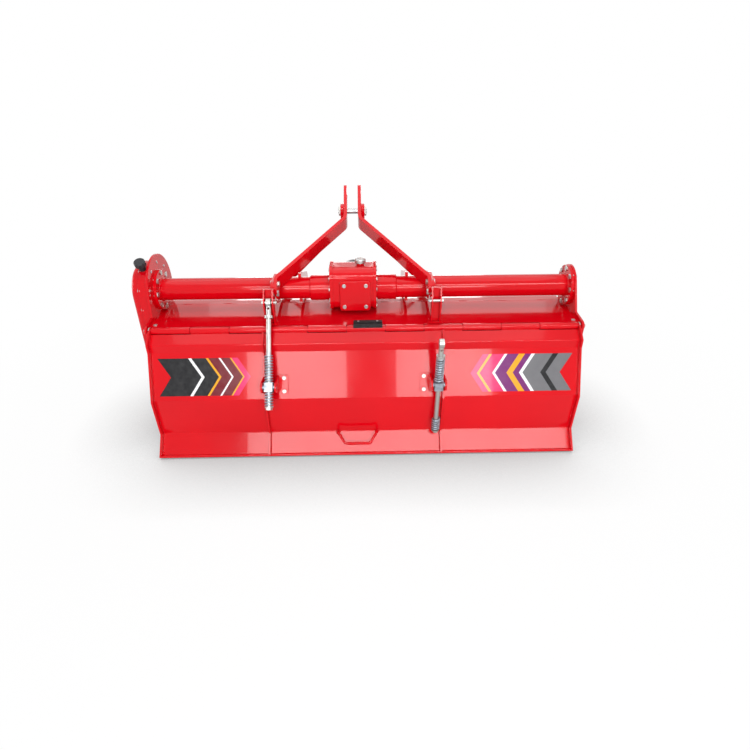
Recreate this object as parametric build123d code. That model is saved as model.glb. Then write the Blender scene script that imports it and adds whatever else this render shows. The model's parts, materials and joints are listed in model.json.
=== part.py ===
from build123d import *
import os
from math import atan2, cos, degrees, hypot, radians, sin, tan

# Rotavator for a tractor's three-point linkage: beam, gearbox, side gear case, hood, rotor, sprung tailboard.
# +X is the machine's right, +Y forward to the tractor, +Z up. It is drawn about the gearbox's middle (X = 0),
# the beam's axis (Y = 0) and the floor (Z = 0), then moved so that the footprint's middle is the origin.
# All sizes are in millimetres and degrees. BACK and AHEAD run along Y, and DROP and RISE are heights.

# Beam tubes and their ends
BEAM_HEIGHT = 693
BEAM_RADIUS = 51
SLEEVE_RADIUS = 59
SLEEVE_LENGTH = 92
BEAM_FLANGE_RADIUS = 94
BEAM_FLANGE_THICK = 14
LEFT_REACH = 912
RIGHT_REACH = 1024

# Gearbox with its bolted side rims and rear cover
GEARBOX_WIDTH = 215
GEARBOX_DEPTH = 176
GEARBOX_TOP = 109
GEARBOX_BOTTOM = 84
GEARBOX_ROUND = 48
GEARBOX_RIM = 5
GEARBOX_RIM_THICK = 15
COVER_SIDE = 142
COVER_THICK = 13
COVER_CORNER = 14
COVER_CHAMFER = 3
COVER_OFFSET = 9
COVER_DROP = 12
BOSS_RADIUS = 18
BOSS_RISE = 6
BREATHER_OFFSET = 34
BREATHER_RADIUS = 26
BREATHER_CAP = 18
BREATHER_ROUND = 7
BREATHER_STEM_RADIUS = 12
BREATHER_STEM = 5

# Input cover, splined shaft and guard
INPUT_COVER_RADIUS = 76
INPUT_COVER_LENGTH = 46
INPUT_FLANGE_THICK = 14
INPUT_NOSE_RADIUS = 57
INPUT_TIP_RADIUS = 44
INPUT_SEAT_RADIUS = 22.5
INPUT_SEAT_DEPTH = 34
SHAFT_END_ROOM = 2
SPLINE_RADIUS = 17.45
SPLINE_ROOT = 15
SPLINE_TOOTH = 8.3
SPLINE_LENGTH = 92
SPLINE_TEETH = 6
GUARD_RADIUS = 73
GUARD_LENGTH = 118
GUARD_WALL = 5
GUARD_ROOM = 1

# Side plates, side gear case and right bearing
PLATE_THICK = 10
LEFT_TOP_RADIUS = 162
LEFT_TOP_AHEAD = 12
RIGHT_TOP_RADIUS = 97
PLATE_NECK_RADIUS = 22
PLATE_FOOT_HEIGHT = 70
PLATE_FOOT_RADIUS = 45
PLATE_HALF_DEPTH = 215
CASE_UPPER_RADIUS = 135
CASE_LOWER_RADIUS = 118
CASE_DEPTH = 42
CASE_COVER_INSET = 13
CASE_COVER_DEPTH = 38
CASE_COVER_ROUND = 20
FILLER_TILT = 30
FILLER_RADIUS = 25
FILLER_CAP_HEIGHT = 24
FILLER_CHAMFER = 4
FILLER_NECK_RADIUS = 15
FILLER_NECK_RISE = 26
FILLER_GRIPS = 10
FILLER_GRIP_RADIUS = 4
FILLER_PLATE_GAP = 1
BEARING_FLANGE_RADIUS = 76
BEARING_FLANGE_THICK = 13
BEARING_HUB_RADIUS = 50
BEARING_HUB_LENGTH = 40
BEARING_HUB_ROUND = 8

# Hood; its nose and lip are measured from the rotor's axis
SHEET = 5
SHEET_BEND = 10
HOOD_BEAM_GAP = 46
HOOD_BACK_BEND = 135
HOOD_BACK_DROP = 6
HOOD_FRONT_BEND = 60
HOOD_NOSE_AHEAD = 215
HOOD_NOSE_RISE = 213
HOOD_LIP_AHEAD = 245
HOOD_LIP_RISE = 128

# Tailboard hinge and its rubber pad
HINGE_BACK = 230
HINGE_DROP = 118
HINGE_ROD_RADIUS = 9
HINGE_ROD_PROUD = 10
KNUCKLE_RADIUS = 15
KNUCKLE_COUNT = 11
KNUCKLE_GAP = 3
KNUCKLE_LAP = 1
HINGE_LUG_RADIUS = 25
PAD_LEFT = 0
PAD_LENGTH = 130
PAD_WIDTH = 28
PAD_THICK = 8

# Tailboard's outer face, measured back and down from the hinge
TAIL_END_GAP = 5
TAIL_SHOULDER_BACK = 54
TAIL_SHOULDER_DROP = 48
TAIL_STEP_BACK = 52
TAIL_STEP_DROP = 83
TAIL_FOLD_BACK = 126
TAIL_FOLD_DROP = 287
TAIL_WAIST_BACK = 101
TAIL_WAIST_DROP = 476
TAIL_LIP_BACK = 165
TAIL_LIP_DROP = 563
LIP_ROD_RADIUS = 7
LIP_ROD_PROUD = 6
RIB_THICK = 8
RIB_HEIGHT = 22
RIB_START = 22
HANDLE_MIDDLE = 10
HANDLE_TOP_WIDTH = 182
HANDLE_BAR_WIDTH = 118
HANDLE_RADIUS = 6
HANDLE_BEND = 15
HANDLE_STANDOFF = 34
HANDLE_ROOT = 8
HANDLE_DROP = 62

# Spring rods and trunnions; the trunnions and anchors are measured from the hinge
ROD_OFFSET = 370
ROD_RADIUS = 11
ROD_HOLE_RADIUS = 5
ROD_HOLE_DOWN = 28
TRUNNION_BACK = 176
TRUNNION_DROP = 198
TRUNNION_SIDE = 40
TRUNNION_ROUND = 4
JOURNAL_RADIUS = 10
EAR_CLEARANCE = 6
EAR_RADIUS = 24
EAR_FOOT_WIDTH = 48
EAR_FOOT_LENGTH = 86
EAR_FOOT_DROP = 25
ANCHOR_AHEAD = 15
ANCHOR_RISE = 122
ANCHOR_PIN_RADIUS = 6
ANCHOR_PIN_TAIL = 14
ANCHOR_HEAD_RADIUS = 10
ANCHOR_HEAD_THICK = 8
EYE_RADIUS = 19
EYE_THICK = 20
EYE_SLIP_ALONG = 6
EYE_SLIP_ACROSS = 3
COLLAR_DOWN = 83
COLLAR_RADIUS = 19
COLLAR_LENGTH = 12
SPRING_RADIUS = 19.5
SPRING_WIRE = 7
SPRING_PITCH = 12
SPRING_PLAY = 0.5
UPPER_SPRING = 120
LOWER_SPRING = 64
END_WASHER = 4
END_NUT = 10
END_NUT_RADIUS = 16
RIGHT_ROD_LEAN = 6.5

# Brackets that hold the rods' tops
CHANNEL_WIDTH = 44
CHANNEL_DEPTH = 46
CHANNEL_FOOT = 24
CHANNEL_FOOT_LAP = 12
CHANNEL_CHIN = 25
CHANNEL_WALL = 6
CHANNEL_FRONT_ROOM = 30
CHANNEL_TOP_ROOM = 52

# Mast, front stays and lower hitch; feet, lug and elbow are measured from the beam's axis
MAST_ANGLE = 37.4
MAST_THICK = 16
MAST_WIDTH = 78
MAST_GAP = 52
MAST_FOOT_BACK = 86
MAST_FOOT_RISE = 56
MAST_FOOT_LENGTH = 72
MAST_SPLAY = 347
MAST_PIN_AT = 413
TOP_HOLE_PITCH = 100
TOP_HOLE_ROOM = 0.45
MAST_END_ROOM = 42
BAR_END_ROUND = 20
TOP_PIN_RADIUS = 12.5
TOP_PIN_LENGTH = 140
PIN_CHAMFER = 3
STAY_WIDTH = 60
STAY_FOOT_AHEAD = 268
STAY_FOOT_DROP = 81
STAY_END_ROOM = 34
HITCH_FACE = 355
HITCH_SPREAD = 110
HITCH_THICK = 14
HITCH_RING_RADIUS = 70
HITCH_LUG_BACK = 118
HITCH_LUG_RISE = 31
HITCH_LUG_RADIUS = 38
HITCH_ELBOW_AHEAD = 250
HITCH_ELBOW_DROP = 48
HITCH_ELBOW_RADIUS = 52
LOWER_PIN_AHEAD = 330
MAST_HEIGHT = 610
LOWER_EYE_RADIUS = 46
LOWER_PIN_RADIUS = 14
LOWER_PIN_SHOULDER = 412.5
LOWER_SHOULDER_RADIUS = 24
LOWER_PIN_STUB = 100

# Rotor
ROTOR_AHEAD = 10
ROTOR_DROP = 436
SHAFT_RADIUS = 44
SHAFT_END_GAP = 14
STUB_RADIUS = 25
STUB_SEAT = 32
GANG_COUNT = 8
BLADES_PER_GANG = 6
GANG_STAGGER = 22.5
GANG_DISC_RADIUS = 104
GANG_DISC_THICK = 10
BLADE_SWING = 240
BLADE_THICK = 8
BLADE_REACH = 108
BLADE_BEND = 30
BLADE_LEAN = 16
BLADE_ROOT_WIDTH = 54
BLADE_ROOT_GAP = 8
BLADE_TIP_WIDTH = 104
BLADE_HEEL = 58
BLADE_CUT_ROOM = 6
BLADE_LEAD_KNEE = (0.85, 0.64)
BLADE_TRAIL_KNEE = (1.6, 0.56)
BLADE_SIDE_GAP = 15

# Skids: a runner on a strap fore and aft of the gear case
SKID_THICK = 8
SKID_WIDTH = 70
SKID_BACK = 165
SKID_FRONT = 190
SKID_NOSE_RISE = 50
SKID_NOSE_LENGTH = 72
SKID_NOSE_BEND = 60
SKID_STRAP_WIDTH = 42
SKID_STRAP_GAP = 12
SKID_STRAP_TOP = 150

# Clearances: a turning fit, and the room round the shaft's stubs in the side plates
RUN_FIT = 0.06
BORE_ROOM = 14

# Places worked out from the sizes above, as (Y, Z)
BEAM = (0, BEAM_HEIGHT)
LEFT_TOP = (LEFT_TOP_AHEAD, BEAM_HEIGHT)
ROTOR = (ROTOR_AHEAD, BEAM_HEIGHT - ROTOR_DROP)
HINGE = (-HINGE_BACK, BEAM_HEIGHT - HINGE_DROP)
TRUNNION = (HINGE[0] - TRUNNION_BACK, HINGE[1] - TRUNNION_DROP)
ANCHOR = (HINGE[0] + ANCHOR_AHEAD, HINGE[1] + ANCHOR_RISE)
TAIL_STEP = (HINGE[0] - TAIL_STEP_BACK, HINGE[1] - TAIL_STEP_DROP)
TAIL_FOLD = (HINGE[0] - TAIL_FOLD_BACK, HINGE[1] - TAIL_FOLD_DROP)
TAIL_WAIST = (HINGE[0] - TAIL_WAIST_BACK, HINGE[1] - TAIL_WAIST_DROP)
TAIL_LIP = (HINGE[0] - TAIL_LIP_BACK, HINGE[1] - TAIL_LIP_DROP)
TAIL_SHOULDER = (HINGE[0] - TAIL_SHOULDER_BACK, HINGE[1] - TAIL_SHOULDER_DROP)
TAIL_OUTLINE = [HINGE, TAIL_SHOULDER, TAIL_STEP, TAIL_FOLD, TAIL_WAIST, TAIL_LIP]
HOOD_TOP = BEAM_HEIGHT - BEAM_RADIUS - HOOD_BEAM_GAP
HOOD_OUTLINE = [
    (HINGE[0], HINGE[1] + KNUCKLE_RADIUS - KNUCKLE_LAP),
    (-HOOD_BACK_BEND, HOOD_TOP - HOOD_BACK_DROP),
    (HOOD_FRONT_BEND, HOOD_TOP),
    (ROTOR[0] + HOOD_NOSE_AHEAD, ROTOR[1] + HOOD_NOSE_RISE),
    (ROTOR[0] + HOOD_LIP_AHEAD, ROTOR[1] + HOOD_LIP_RISE),
]
MAST_FOOT = (-MAST_FOOT_BACK, BEAM_HEIGHT + MAST_FOOT_RISE)
STAY_FOOT = (STAY_FOOT_AHEAD, BEAM_HEIGHT - STAY_FOOT_DROP)
HITCH_LUG = (-HITCH_LUG_BACK, BEAM_HEIGHT + HITCH_LUG_RISE)
HITCH_ELBOW = (HITCH_ELBOW_AHEAD, BEAM_HEIGHT - HITCH_ELBOW_DROP)
GEARBOX_BACK = -GEARBOX_DEPTH / 2
GEARBOX_FRONT = GEARBOX_DEPTH / 2
INPUT_FACE = GEARBOX_FRONT + INPUT_COVER_LENGTH

# Places along X
LEFT_OUTER = -(LEFT_REACH + PLATE_THICK)
RIGHT_OUTER = RIGHT_REACH + PLATE_THICK
TAIL_LEFT = -LEFT_REACH + TAIL_END_GAP
TAIL_RIGHT = RIGHT_REACH - TAIL_END_GAP
PANEL_LEFT = TAIL_LEFT + RIB_THICK
PANEL_RIGHT = TAIL_RIGHT - RIB_THICK
RIB_INNER = ROD_OFFSET + TRUNNION_SIDE / 2 + EAR_CLEARANCE
EAR_OUTER = ROD_OFFSET - TRUNNION_SIDE / 2 - EAR_CLEARANCE

# Places along a spring rod, measured up from the trunnion's middle
ROD_REACH = hypot(ANCHOR[0] - TRUNNION[0], ANCHOR[1] - TRUNNION[1])
ROD_LEAN = degrees(atan2(ANCHOR[0] - TRUNNION[0], ANCHOR[1] - TRUNNION[1]))
COLLAR_AT = ROD_REACH + EYE_RADIUS - COLLAR_DOWN
UPPER_START = TRUNNION_SIDE / 2
LOWER_START = -TRUNNION_SIDE / 2 - SPRING_PLAY - LOWER_SPRING
RIGHT_ROD_DROP = COLLAR_AT - COLLAR_LENGTH / 2 - UPPER_START - UPPER_SPRING - SPRING_PLAY


def along_mast(distance):
    """Place on the mast's middle line, measured from the lower bend."""
    turn = radians(MAST_ANGLE)
    return MAST_FOOT[0] + distance * cos(turn), MAST_FOOT[1] + distance * sin(turn)


TOP_PIN = along_mast(MAST_PIN_AT)
TOP_HOLE = along_mast(MAST_PIN_AT + TOP_HOLE_PITCH)
LOWER_PIN = (LOWER_PIN_AHEAD, TOP_HOLE[1] - MAST_HEIGHT)


def slab(outline, x0, x1):
    """Extrude an outline drawn in back-to-front (Y) and height (Z) from x0 to x1."""
    return extrude(Plane.YZ.offset(x0) * outline, amount=x1 - x0)


def disc(place, radius):
    return Pos(*place) * Circle(radius)


def round_bar(place, radius, x0, x1):
    return slab(disc(place, radius), x0, x1)


def hull(*discs):
    """Outline stretched round discs, each given as (place, radius)."""
    edges = ShapeList()
    for place, radius in discs:
        edges += disc(place, radius).edges()
    return make_hull(edges)


def strip(points, thick, side, bend=SHEET_BEND):
    """Outline of a bent strip whose one face follows the points."""
    return make_face(offset(FilletPolyline(*points, radius=bend), thick, side=side))


def toward(p, q, distance):
    """Place on the line from p to q, at a distance from p."""
    share = distance / hypot(q[0] - p[0], q[1] - p[1])
    return p[0] + (q[0] - p[0]) * share, p[1] + (q[1] - p[1]) * share


def outward(p, q):
    """Unit normal on the right of the line from p to q, which is the tailboard's outer side."""
    length = hypot(q[0] - p[0], q[1] - p[1])
    return (q[1] - p[1]) / length, (p[0] - q[0]) / length


def beside(place, normal, distance):
    return place[0] + normal[0] * distance, place[1] + normal[1] * distance


def shifted(points, distance):
    """Run of straight lines moved outward, with mitred corners."""
    normals = [outward(p, q) for p, q in zip(points, points[1:])]
    moved = []
    for place, a, b in zip(points, normals[:1] + normals, normals + normals[-1:]):
        share = distance / (1 + a[0] * b[0] + a[1] * b[1])
        moved.append(beside(place, (a[0] + b[0], a[1] + b[1]), share))
    return moved


def mirrored(part):
    return mirror(part, about=Plane.YZ)


def hinge_cells():
    """Ends of the hinge knuckles along X, hood and tailboard in turn."""
    pitch = (PANEL_RIGHT - PANEL_LEFT) / KNUCKLE_COUNT
    return [(PANEL_LEFT + i * pitch, PANEL_LEFT + (i + 1) * pitch) for i in range(KNUCKLE_COUNT)]


def with_knuckles(sheet, own, other, bore):
    """Give a sheet its hinge knuckles and clear the other leaf's."""
    for x0, x1 in own:
        sheet += round_bar(HINGE, KNUCKLE_RADIUS, x0 + KNUCKLE_GAP / 2, x1 - KNUCKLE_GAP / 2)
    for x0, x1 in other:
        sheet -= round_bar(HINGE, KNUCKLE_RADIUS + KNUCKLE_GAP, x0 - KNUCKLE_GAP / 2, x1 + KNUCKLE_GAP / 2)
    return sheet - round_bar(HINGE, bore, -LEFT_REACH, RIGHT_REACH)


# Beam and gearbox

def beam_tube(inner, outer):
    """Tube from a gearbox rim to a side plate, with a sleeve at the gearbox and a bolted end flange."""
    way = 1 if outer > inner else -1
    tube = round_bar(BEAM, BEAM_RADIUS, *sorted((inner, outer)))
    tube += round_bar(BEAM, SLEEVE_RADIUS, *sorted((inner, inner + way * SLEEVE_LENGTH)))
    return tube + round_bar(BEAM, BEAM_FLANGE_RADIUS, *sorted((outer - way * BEAM_FLANGE_THICK, outer)))


def gearbox_section(proud):
    """Rounded outline of the gearbox, or of its rims where they stand proud."""
    middle = BEAM_HEIGHT + (GEARBOX_TOP - GEARBOX_BOTTOM) / 2
    height = GEARBOX_TOP + GEARBOX_BOTTOM + 2 * proud
    return Pos(0, middle) * RectangleRounded(GEARBOX_DEPTH + 2 * proud, height, GEARBOX_ROUND + proud)


def cover_outline():
    plate = RectangleRounded(COVER_SIDE, COVER_SIDE, COVER_CORNER)
    return Plane.XZ.offset(-GEARBOX_BACK) * Pos(COVER_OFFSET, BEAM_HEIGHT - COVER_DROP) * plate


def gearbox_housing():
    """Rounded box between two rims, with a square boss for the rear cover and a round one on top."""
    half = GEARBOX_WIDTH / 2
    body = slab(gearbox_section(0), -half, half) + extrude(cover_outline(), amount=-GEARBOX_ROUND)
    for side in (-half, half - GEARBOX_RIM_THICK):
        body += slab(gearbox_section(GEARBOX_RIM), side, side + GEARBOX_RIM_THICK)
    boss_height = GEARBOX_TOP + BOSS_RISE
    boss = Pos(BREATHER_OFFSET, 0, BEAM_HEIGHT + boss_height / 2) * Cylinder(BOSS_RADIUS, boss_height)
    seat = Cylinder(INPUT_SEAT_RADIUS + RUN_FIT, INPUT_SEAT_DEPTH)
    return body + boss - Pos(0, GEARBOX_FRONT - INPUT_SEAT_DEPTH / 2, BEAM_HEIGHT) * Rot(X=90) * seat


def gearbox_rear_cover():
    cover = extrude(cover_outline(), amount=COVER_THICK)
    return chamfer(cover.faces().sort_by(Axis.Y)[0].edges(), COVER_CHAMFER)


def gearbox_breather():
    """Mushroom cap on a stem."""
    stem = Pos(0, 0, BREATHER_STEM / 2) * Cylinder(BREATHER_STEM_RADIUS, BREATHER_STEM)
    cap = Pos(0, 0, BREATHER_STEM + BREATHER_CAP / 2) * Cylinder(BREATHER_RADIUS, BREATHER_CAP)
    cap = fillet(cap.edges().group_by(Axis.Z)[-1], BREATHER_ROUND)
    return Pos(BREATHER_OFFSET, 0, BEAM_HEIGHT + GEARBOX_TOP + BOSS_RISE) * (stem + cap)


def input_cover():
    """Stepped bearing cover on the gearbox's front."""
    nose_length = INPUT_COVER_LENGTH - INPUT_FLANGE_THICK
    flange = Pos(0, 0, INPUT_FLANGE_THICK / 2) * Cylinder(INPUT_COVER_RADIUS, INPUT_FLANGE_THICK)
    nose = Cone(INPUT_NOSE_RADIUS, INPUT_TIP_RADIUS, nose_length)
    bore = Cylinder(INPUT_SEAT_RADIUS + RUN_FIT, 2 * INPUT_COVER_LENGTH)
    cover = flange + Pos(0, 0, INPUT_FLANGE_THICK + nose_length / 2) * nose - bore
    return Pos(0, GEARBOX_FRONT, BEAM_HEIGHT) * Rot(X=-90) * cover


def input_guard():
    """Tubular shield round the splined end, bolted over the input cover."""
    shell = Pos(0, 0, GUARD_LENGTH / 2) * Cylinder(GUARD_RADIUS, GUARD_LENGTH)
    inside = Pos(0, 0, GUARD_LENGTH / 2 + GUARD_WALL) * Cylinder(GUARD_RADIUS - GUARD_WALL, GUARD_LENGTH)
    hole = Cylinder(INPUT_NOSE_RADIUS + GUARD_ROOM, GUARD_LENGTH)
    return Pos(0, GEARBOX_FRONT + INPUT_FLANGE_THICK, BEAM_HEIGHT) * Rot(X=-90) * (shell - inside - hole)


def input_shaft():
    """Six-splined stub that turns in the input cover."""
    seat_length = INPUT_SEAT_DEPTH - SHAFT_END_ROOM + INPUT_COVER_LENGTH
    seat = Pos(0, 0, seat_length / 2) * Cylinder(INPUT_SEAT_RADIUS, seat_length)
    spline = Circle(SPLINE_ROOT)
    tooth = Pos(SPLINE_RADIUS / 2, 0) * Rectangle(SPLINE_RADIUS, SPLINE_TOOTH)
    for i in range(SPLINE_TEETH):
        spline += Rot(Z=i * 360 / SPLINE_TEETH) * tooth
    stub = Pos(0, 0, seat_length) * extrude(spline & Circle(SPLINE_RADIUS), amount=SPLINE_LENGTH)
    return Pos(0, INPUT_FACE - seat_length, BEAM_HEIGHT) * Rot(X=-90) * (seat + stub)


# Side plates, gear case and bearing

def side_plate(top_place, top_radius, x0, x1):
    """Plate that closes the hood's end, with a necked-in head on the beam and a lug on the hinge rod."""
    back_bend, front_bend, nose, lip = HOOD_OUTLINE[1:]
    foot = PLATE_FOOT_HEIGHT + PLATE_FOOT_RADIUS
    foot_reach = PLATE_HALF_DEPTH - PLATE_FOOT_RADIUS
    skirt = hull(
        (HINGE, HINGE_LUG_RADIUS),
        (back_bend, PLATE_NECK_RADIUS),
        (front_bend, PLATE_NECK_RADIUS),
        (nose, PLATE_NECK_RADIUS),
        (lip, PLATE_NECK_RADIUS),
        ((ROTOR_AHEAD - foot_reach, foot), PLATE_FOOT_RADIUS),
        ((ROTOR_AHEAD + foot_reach, foot), PLATE_FOOT_RADIUS),
    )
    head = hull((top_place, top_radius), (back_bend, PLATE_NECK_RADIUS), (front_bend, PLATE_NECK_RADIUS))
    plate = slab(skirt + head, x0, x1)
    plate -= round_bar(ROTOR, STUB_RADIUS + BORE_ROOM, x0, x1)
    return plate - round_bar(HINGE, HINGE_ROD_RADIUS, x0, x1)


def case_outline(inset):
    return hull((BEAM, CASE_UPPER_RADIUS - inset), (ROTOR, CASE_LOWER_RADIUS - inset))


def gear_case():
    case = slab(case_outline(0), LEFT_OUTER - CASE_DEPTH, LEFT_OUTER)
    return case - round_bar(ROTOR, STUB_RADIUS + RUN_FIT, LEFT_OUTER - STUB_SEAT - SHAFT_END_ROOM, LEFT_OUTER)


def gear_case_cover():
    inner = LEFT_OUTER - CASE_DEPTH
    cover = slab(case_outline(CASE_COVER_INSET), inner - CASE_COVER_DEPTH, inner)
    return fillet(cover.faces().sort_by(Axis.X)[0].edges(), CASE_COVER_ROUND)


def filler_cap():
    """Scalloped cap on a short neck, on the case's rear shoulder."""
    neck_length = 2 * FILLER_NECK_RISE
    neck = Cylinder(FILLER_NECK_RADIUS, neck_length)
    cap = chamfer(Cylinder(FILLER_RADIUS, FILLER_CAP_HEIGHT).edges().group_by(Axis.Z)[-1], FILLER_CHAMFER)
    grip = Pos(FILLER_RADIUS + FILLER_GRIP_RADIUS / 2, 0) * Cylinder(FILLER_GRIP_RADIUS, FILLER_CAP_HEIGHT)
    for i in range(FILLER_GRIPS):
        cap -= Rot(Z=i * 360 / FILLER_GRIPS) * grip
    filler = neck + Pos(0, 0, FILLER_NECK_RISE + FILLER_CAP_HEIGHT / 2) * cap
    middle = LEFT_OUTER - FILLER_PLATE_GAP - FILLER_RADIUS
    seated = Pos(middle, *BEAM) * Rot(X=FILLER_TILT) * Pos(0, 0, CASE_UPPER_RADIUS) * filler
    return seated - slab(case_outline(0), LEFT_OUTER - CASE_DEPTH, LEFT_OUTER)


def bearing_housing():
    flange = round_bar(ROTOR, BEARING_FLANGE_RADIUS, RIGHT_OUTER, RIGHT_OUTER + BEARING_FLANGE_THICK)
    hub_end = RIGHT_OUTER + BEARING_FLANGE_THICK + BEARING_HUB_LENGTH
    hub = round_bar(ROTOR, BEARING_HUB_RADIUS, RIGHT_OUTER, hub_end)
    hub = fillet(hub.edges().group_by(Axis.X)[-1], BEARING_HUB_ROUND)
    seat_end = RIGHT_OUTER + STUB_SEAT + SHAFT_END_ROOM
    return flange + hub - round_bar(ROTOR, STUB_RADIUS + RUN_FIT, RIGHT_OUTER, seat_end)


# Hood and hinge

def hood():
    sheet = slab(strip(HOOD_OUTLINE, SHEET, Side.RIGHT), -LEFT_REACH, RIGHT_REACH)
    cells = hinge_cells()
    ends = [(-LEFT_REACH, PANEL_LEFT), (PANEL_RIGHT, RIGHT_REACH)]
    return with_knuckles(sheet, cells[0::2], cells[1::2] + ends, HINGE_ROD_RADIUS)


def hinge_rod():
    return round_bar(HINGE, HINGE_ROD_RADIUS, LEFT_OUTER - HINGE_ROD_PROUD, RIGHT_OUTER + HINGE_ROD_PROUD)


def hinge_pad():
    """Rubber strip on the hood's rear face, just ahead of the hinge."""
    edge, bend = HOOD_OUTLINE[:2]
    normal = outward(bend, edge)
    start = toward(edge, bend, KNUCKLE_RADIUS + KNUCKLE_GAP)
    plane = Plane(origin=(PAD_LEFT, *start), x_dir=(1, 0, 0), z_dir=(0, *normal))
    pad = Pos(PAD_LENGTH / 2, PAD_WIDTH / 2, PAD_THICK / 2) * Box(PAD_LENGTH, PAD_WIDTH, PAD_THICK)
    return plane * fillet(pad.edges().filter_by(Axis.Z), PAD_THICK / 2)


# Tailboard

def tailboard_panel():
    """Folded sheet with a round bar along its lower edge."""
    sheet = slab(strip(TAIL_OUTLINE, SHEET, Side.LEFT), PANEL_LEFT, PANEL_RIGHT)
    sheet += round_bar(TAIL_LIP, LIP_ROD_RADIUS, TAIL_LEFT - LIP_ROD_PROUD, TAIL_RIGHT + LIP_ROD_PROUD)
    cells = hinge_cells()
    return with_knuckles(sheet, cells[1::2], cells[0::2], HINGE_ROD_RADIUS + RUN_FIT)


def rib_outline():
    """Flat bar on edge that follows the whole outer face, from below the hinge to the lip."""
    run = [toward(HINGE, TAIL_SHOULDER, RIB_START)] + TAIL_OUTLINE[1:]
    rim = shifted(run, RIB_HEIGHT)
    face = FilletPolyline(*run, radius=SHEET_BEND)
    outline = make_face(face + Line(run[-1], rim[-1]) + Polyline(*rim) + Line(rim[0], run[0]))
    return outline - disc(TAIL_LIP, LIP_ROD_RADIUS)


def end_outline():
    """Plate that caps the folded sheet's end, with a lug that turns on the hinge rod."""
    half = RIB_HEIGHT / 2
    start = toward(HINGE, TAIL_SHOULDER, RIB_START)
    lug = hull((HINGE, KNUCKLE_RADIUS), (beside(start, outward(HINGE, TAIL_SHOULDER), half), half))
    outline = strip(TAIL_OUTLINE, SHEET, Side.LEFT) + rib_outline() + lug
    outline -= disc(HINGE, HINGE_ROD_RADIUS + RUN_FIT)
    return outline - disc(TAIL_LIP, LIP_ROD_RADIUS)


def ear_root():
    """Ends of an ear's foot on the tailboard's main face, a little below the trunnion."""
    down = TAIL_STEP[1] - TRUNNION[1] + EAR_FOOT_DROP
    slope = hypot(TAIL_FOLD[0] - TAIL_STEP[0], TAIL_FOLD[1] - TAIL_STEP[1]) / (TAIL_STEP[1] - TAIL_FOLD[1])
    along = down * slope
    return [toward(TAIL_STEP, TAIL_FOLD, along + end * EAR_FOOT_LENGTH / 2) for end in (-1, 1)]


def ear_outline():
    """Lug from the tailboard's main face out to the trunnion's journal."""
    return make_hull(disc(TRUNNION, EAR_RADIUS).edges() + Polyline(*ear_root()).edges())


def tailboard_ribs():
    """End plates, and the two ribs that carry the trunnions' outer ears."""
    rib = rib_outline() + ear_outline() - disc(TRUNNION, JOURNAL_RADIUS + RUN_FIT)
    right = slab(rib, RIB_INNER, RIB_INNER + RIB_THICK)
    ends = [slab(end_outline(), x, x + RIB_THICK) for x in (TAIL_LEFT, PANEL_RIGHT)]
    return Compound([right, mirrored(right)] + ends)


def inner_ear():
    """Right bolt-on ear: a lug on a foot that lies on the panel."""
    foot = make_face(offset(Polyline(*ear_root()), RIB_THICK, side=Side.RIGHT))
    lug = slab(ear_outline(), EAR_OUTER - RIB_THICK, EAR_OUTER)
    ear = lug + slab(foot, EAR_OUTER - EAR_FOOT_WIDTH, EAR_OUTER)
    return ear - round_bar(TRUNNION, JOURNAL_RADIUS + RUN_FIT, EAR_OUTER - EAR_FOOT_WIDTH, EAR_OUTER)


def tailboard_handle():
    """Bent round bar over the lower lip, its ends welded just below the waist."""
    off_lip = outward(TAIL_WAIST, TAIL_LIP)
    root = toward(TAIL_WAIST, TAIL_LIP, HANDLE_ROOT)
    knee = beside(root, off_lip, HANDLE_STANDOFF)
    low = beside(toward(TAIL_WAIST, TAIL_LIP, HANDLE_DROP), off_lip, HANDLE_STANDOFF)
    half_top, half_bar = HANDLE_TOP_WIDTH / 2, HANDLE_BAR_WIDTH / 2
    route = [(-half_top, *root), (-half_top, *knee), (-half_bar, *low)]
    route += [(-x, y, z) for x, y, z in reversed(route)]
    path = FilletPolyline(*route, radius=HANDLE_BEND)
    ring = Plane(origin=path @ 0, z_dir=path % 0) * Circle(HANDLE_RADIUS)
    return Pos(X=HANDLE_MIDDLE) * sweep(ring, path=path)


# Spring rods, drawn with the rod's axis on Z and the trunnion's middle at the origin

def rod_plane(side, lean):
    """Plane at a trunnion's middle whose normal runs up the rod."""
    turn = radians(lean)
    return Plane(origin=(side * ROD_OFFSET, *TRUNNION), x_dir=(1, 0, 0), z_dir=(0, sin(turn), cos(turn)))


def upright(radius, z0, z1):
    """Round bar on the rod's axis."""
    return Pos(0, 0, (z0 + z1) / 2) * Cylinder(radius, z1 - z0)


def spring(start, length):
    """Coil round the rod, from start upward, with its ends ground flat."""
    path = Helix(SPRING_PITCH, length, SPRING_RADIUS - SPRING_WIRE / 2)
    wire = Plane(origin=path @ 0, z_dir=path % 0) * Circle(SPRING_WIRE / 2)
    coil = sweep(wire, path=path, is_frenet=True)
    return Pos(0, 0, start) * (coil & upright(SPRING_RADIUS + SPRING_WIRE, 0, length))


def trunnion():
    block = fillet(Box(*[TRUNNION_SIDE] * 3).edges().filter_by(Axis.Z), TRUNNION_ROUND)
    journal = Cylinder(JOURNAL_RADIUS, TRUNNION_SIDE + 2 * (EAR_CLEARANCE + RIB_THICK))
    bore = Cylinder(ROD_RADIUS + RUN_FIT, TRUNNION_SIDE)
    return block + Rot(Y=90) * journal - bore


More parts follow.
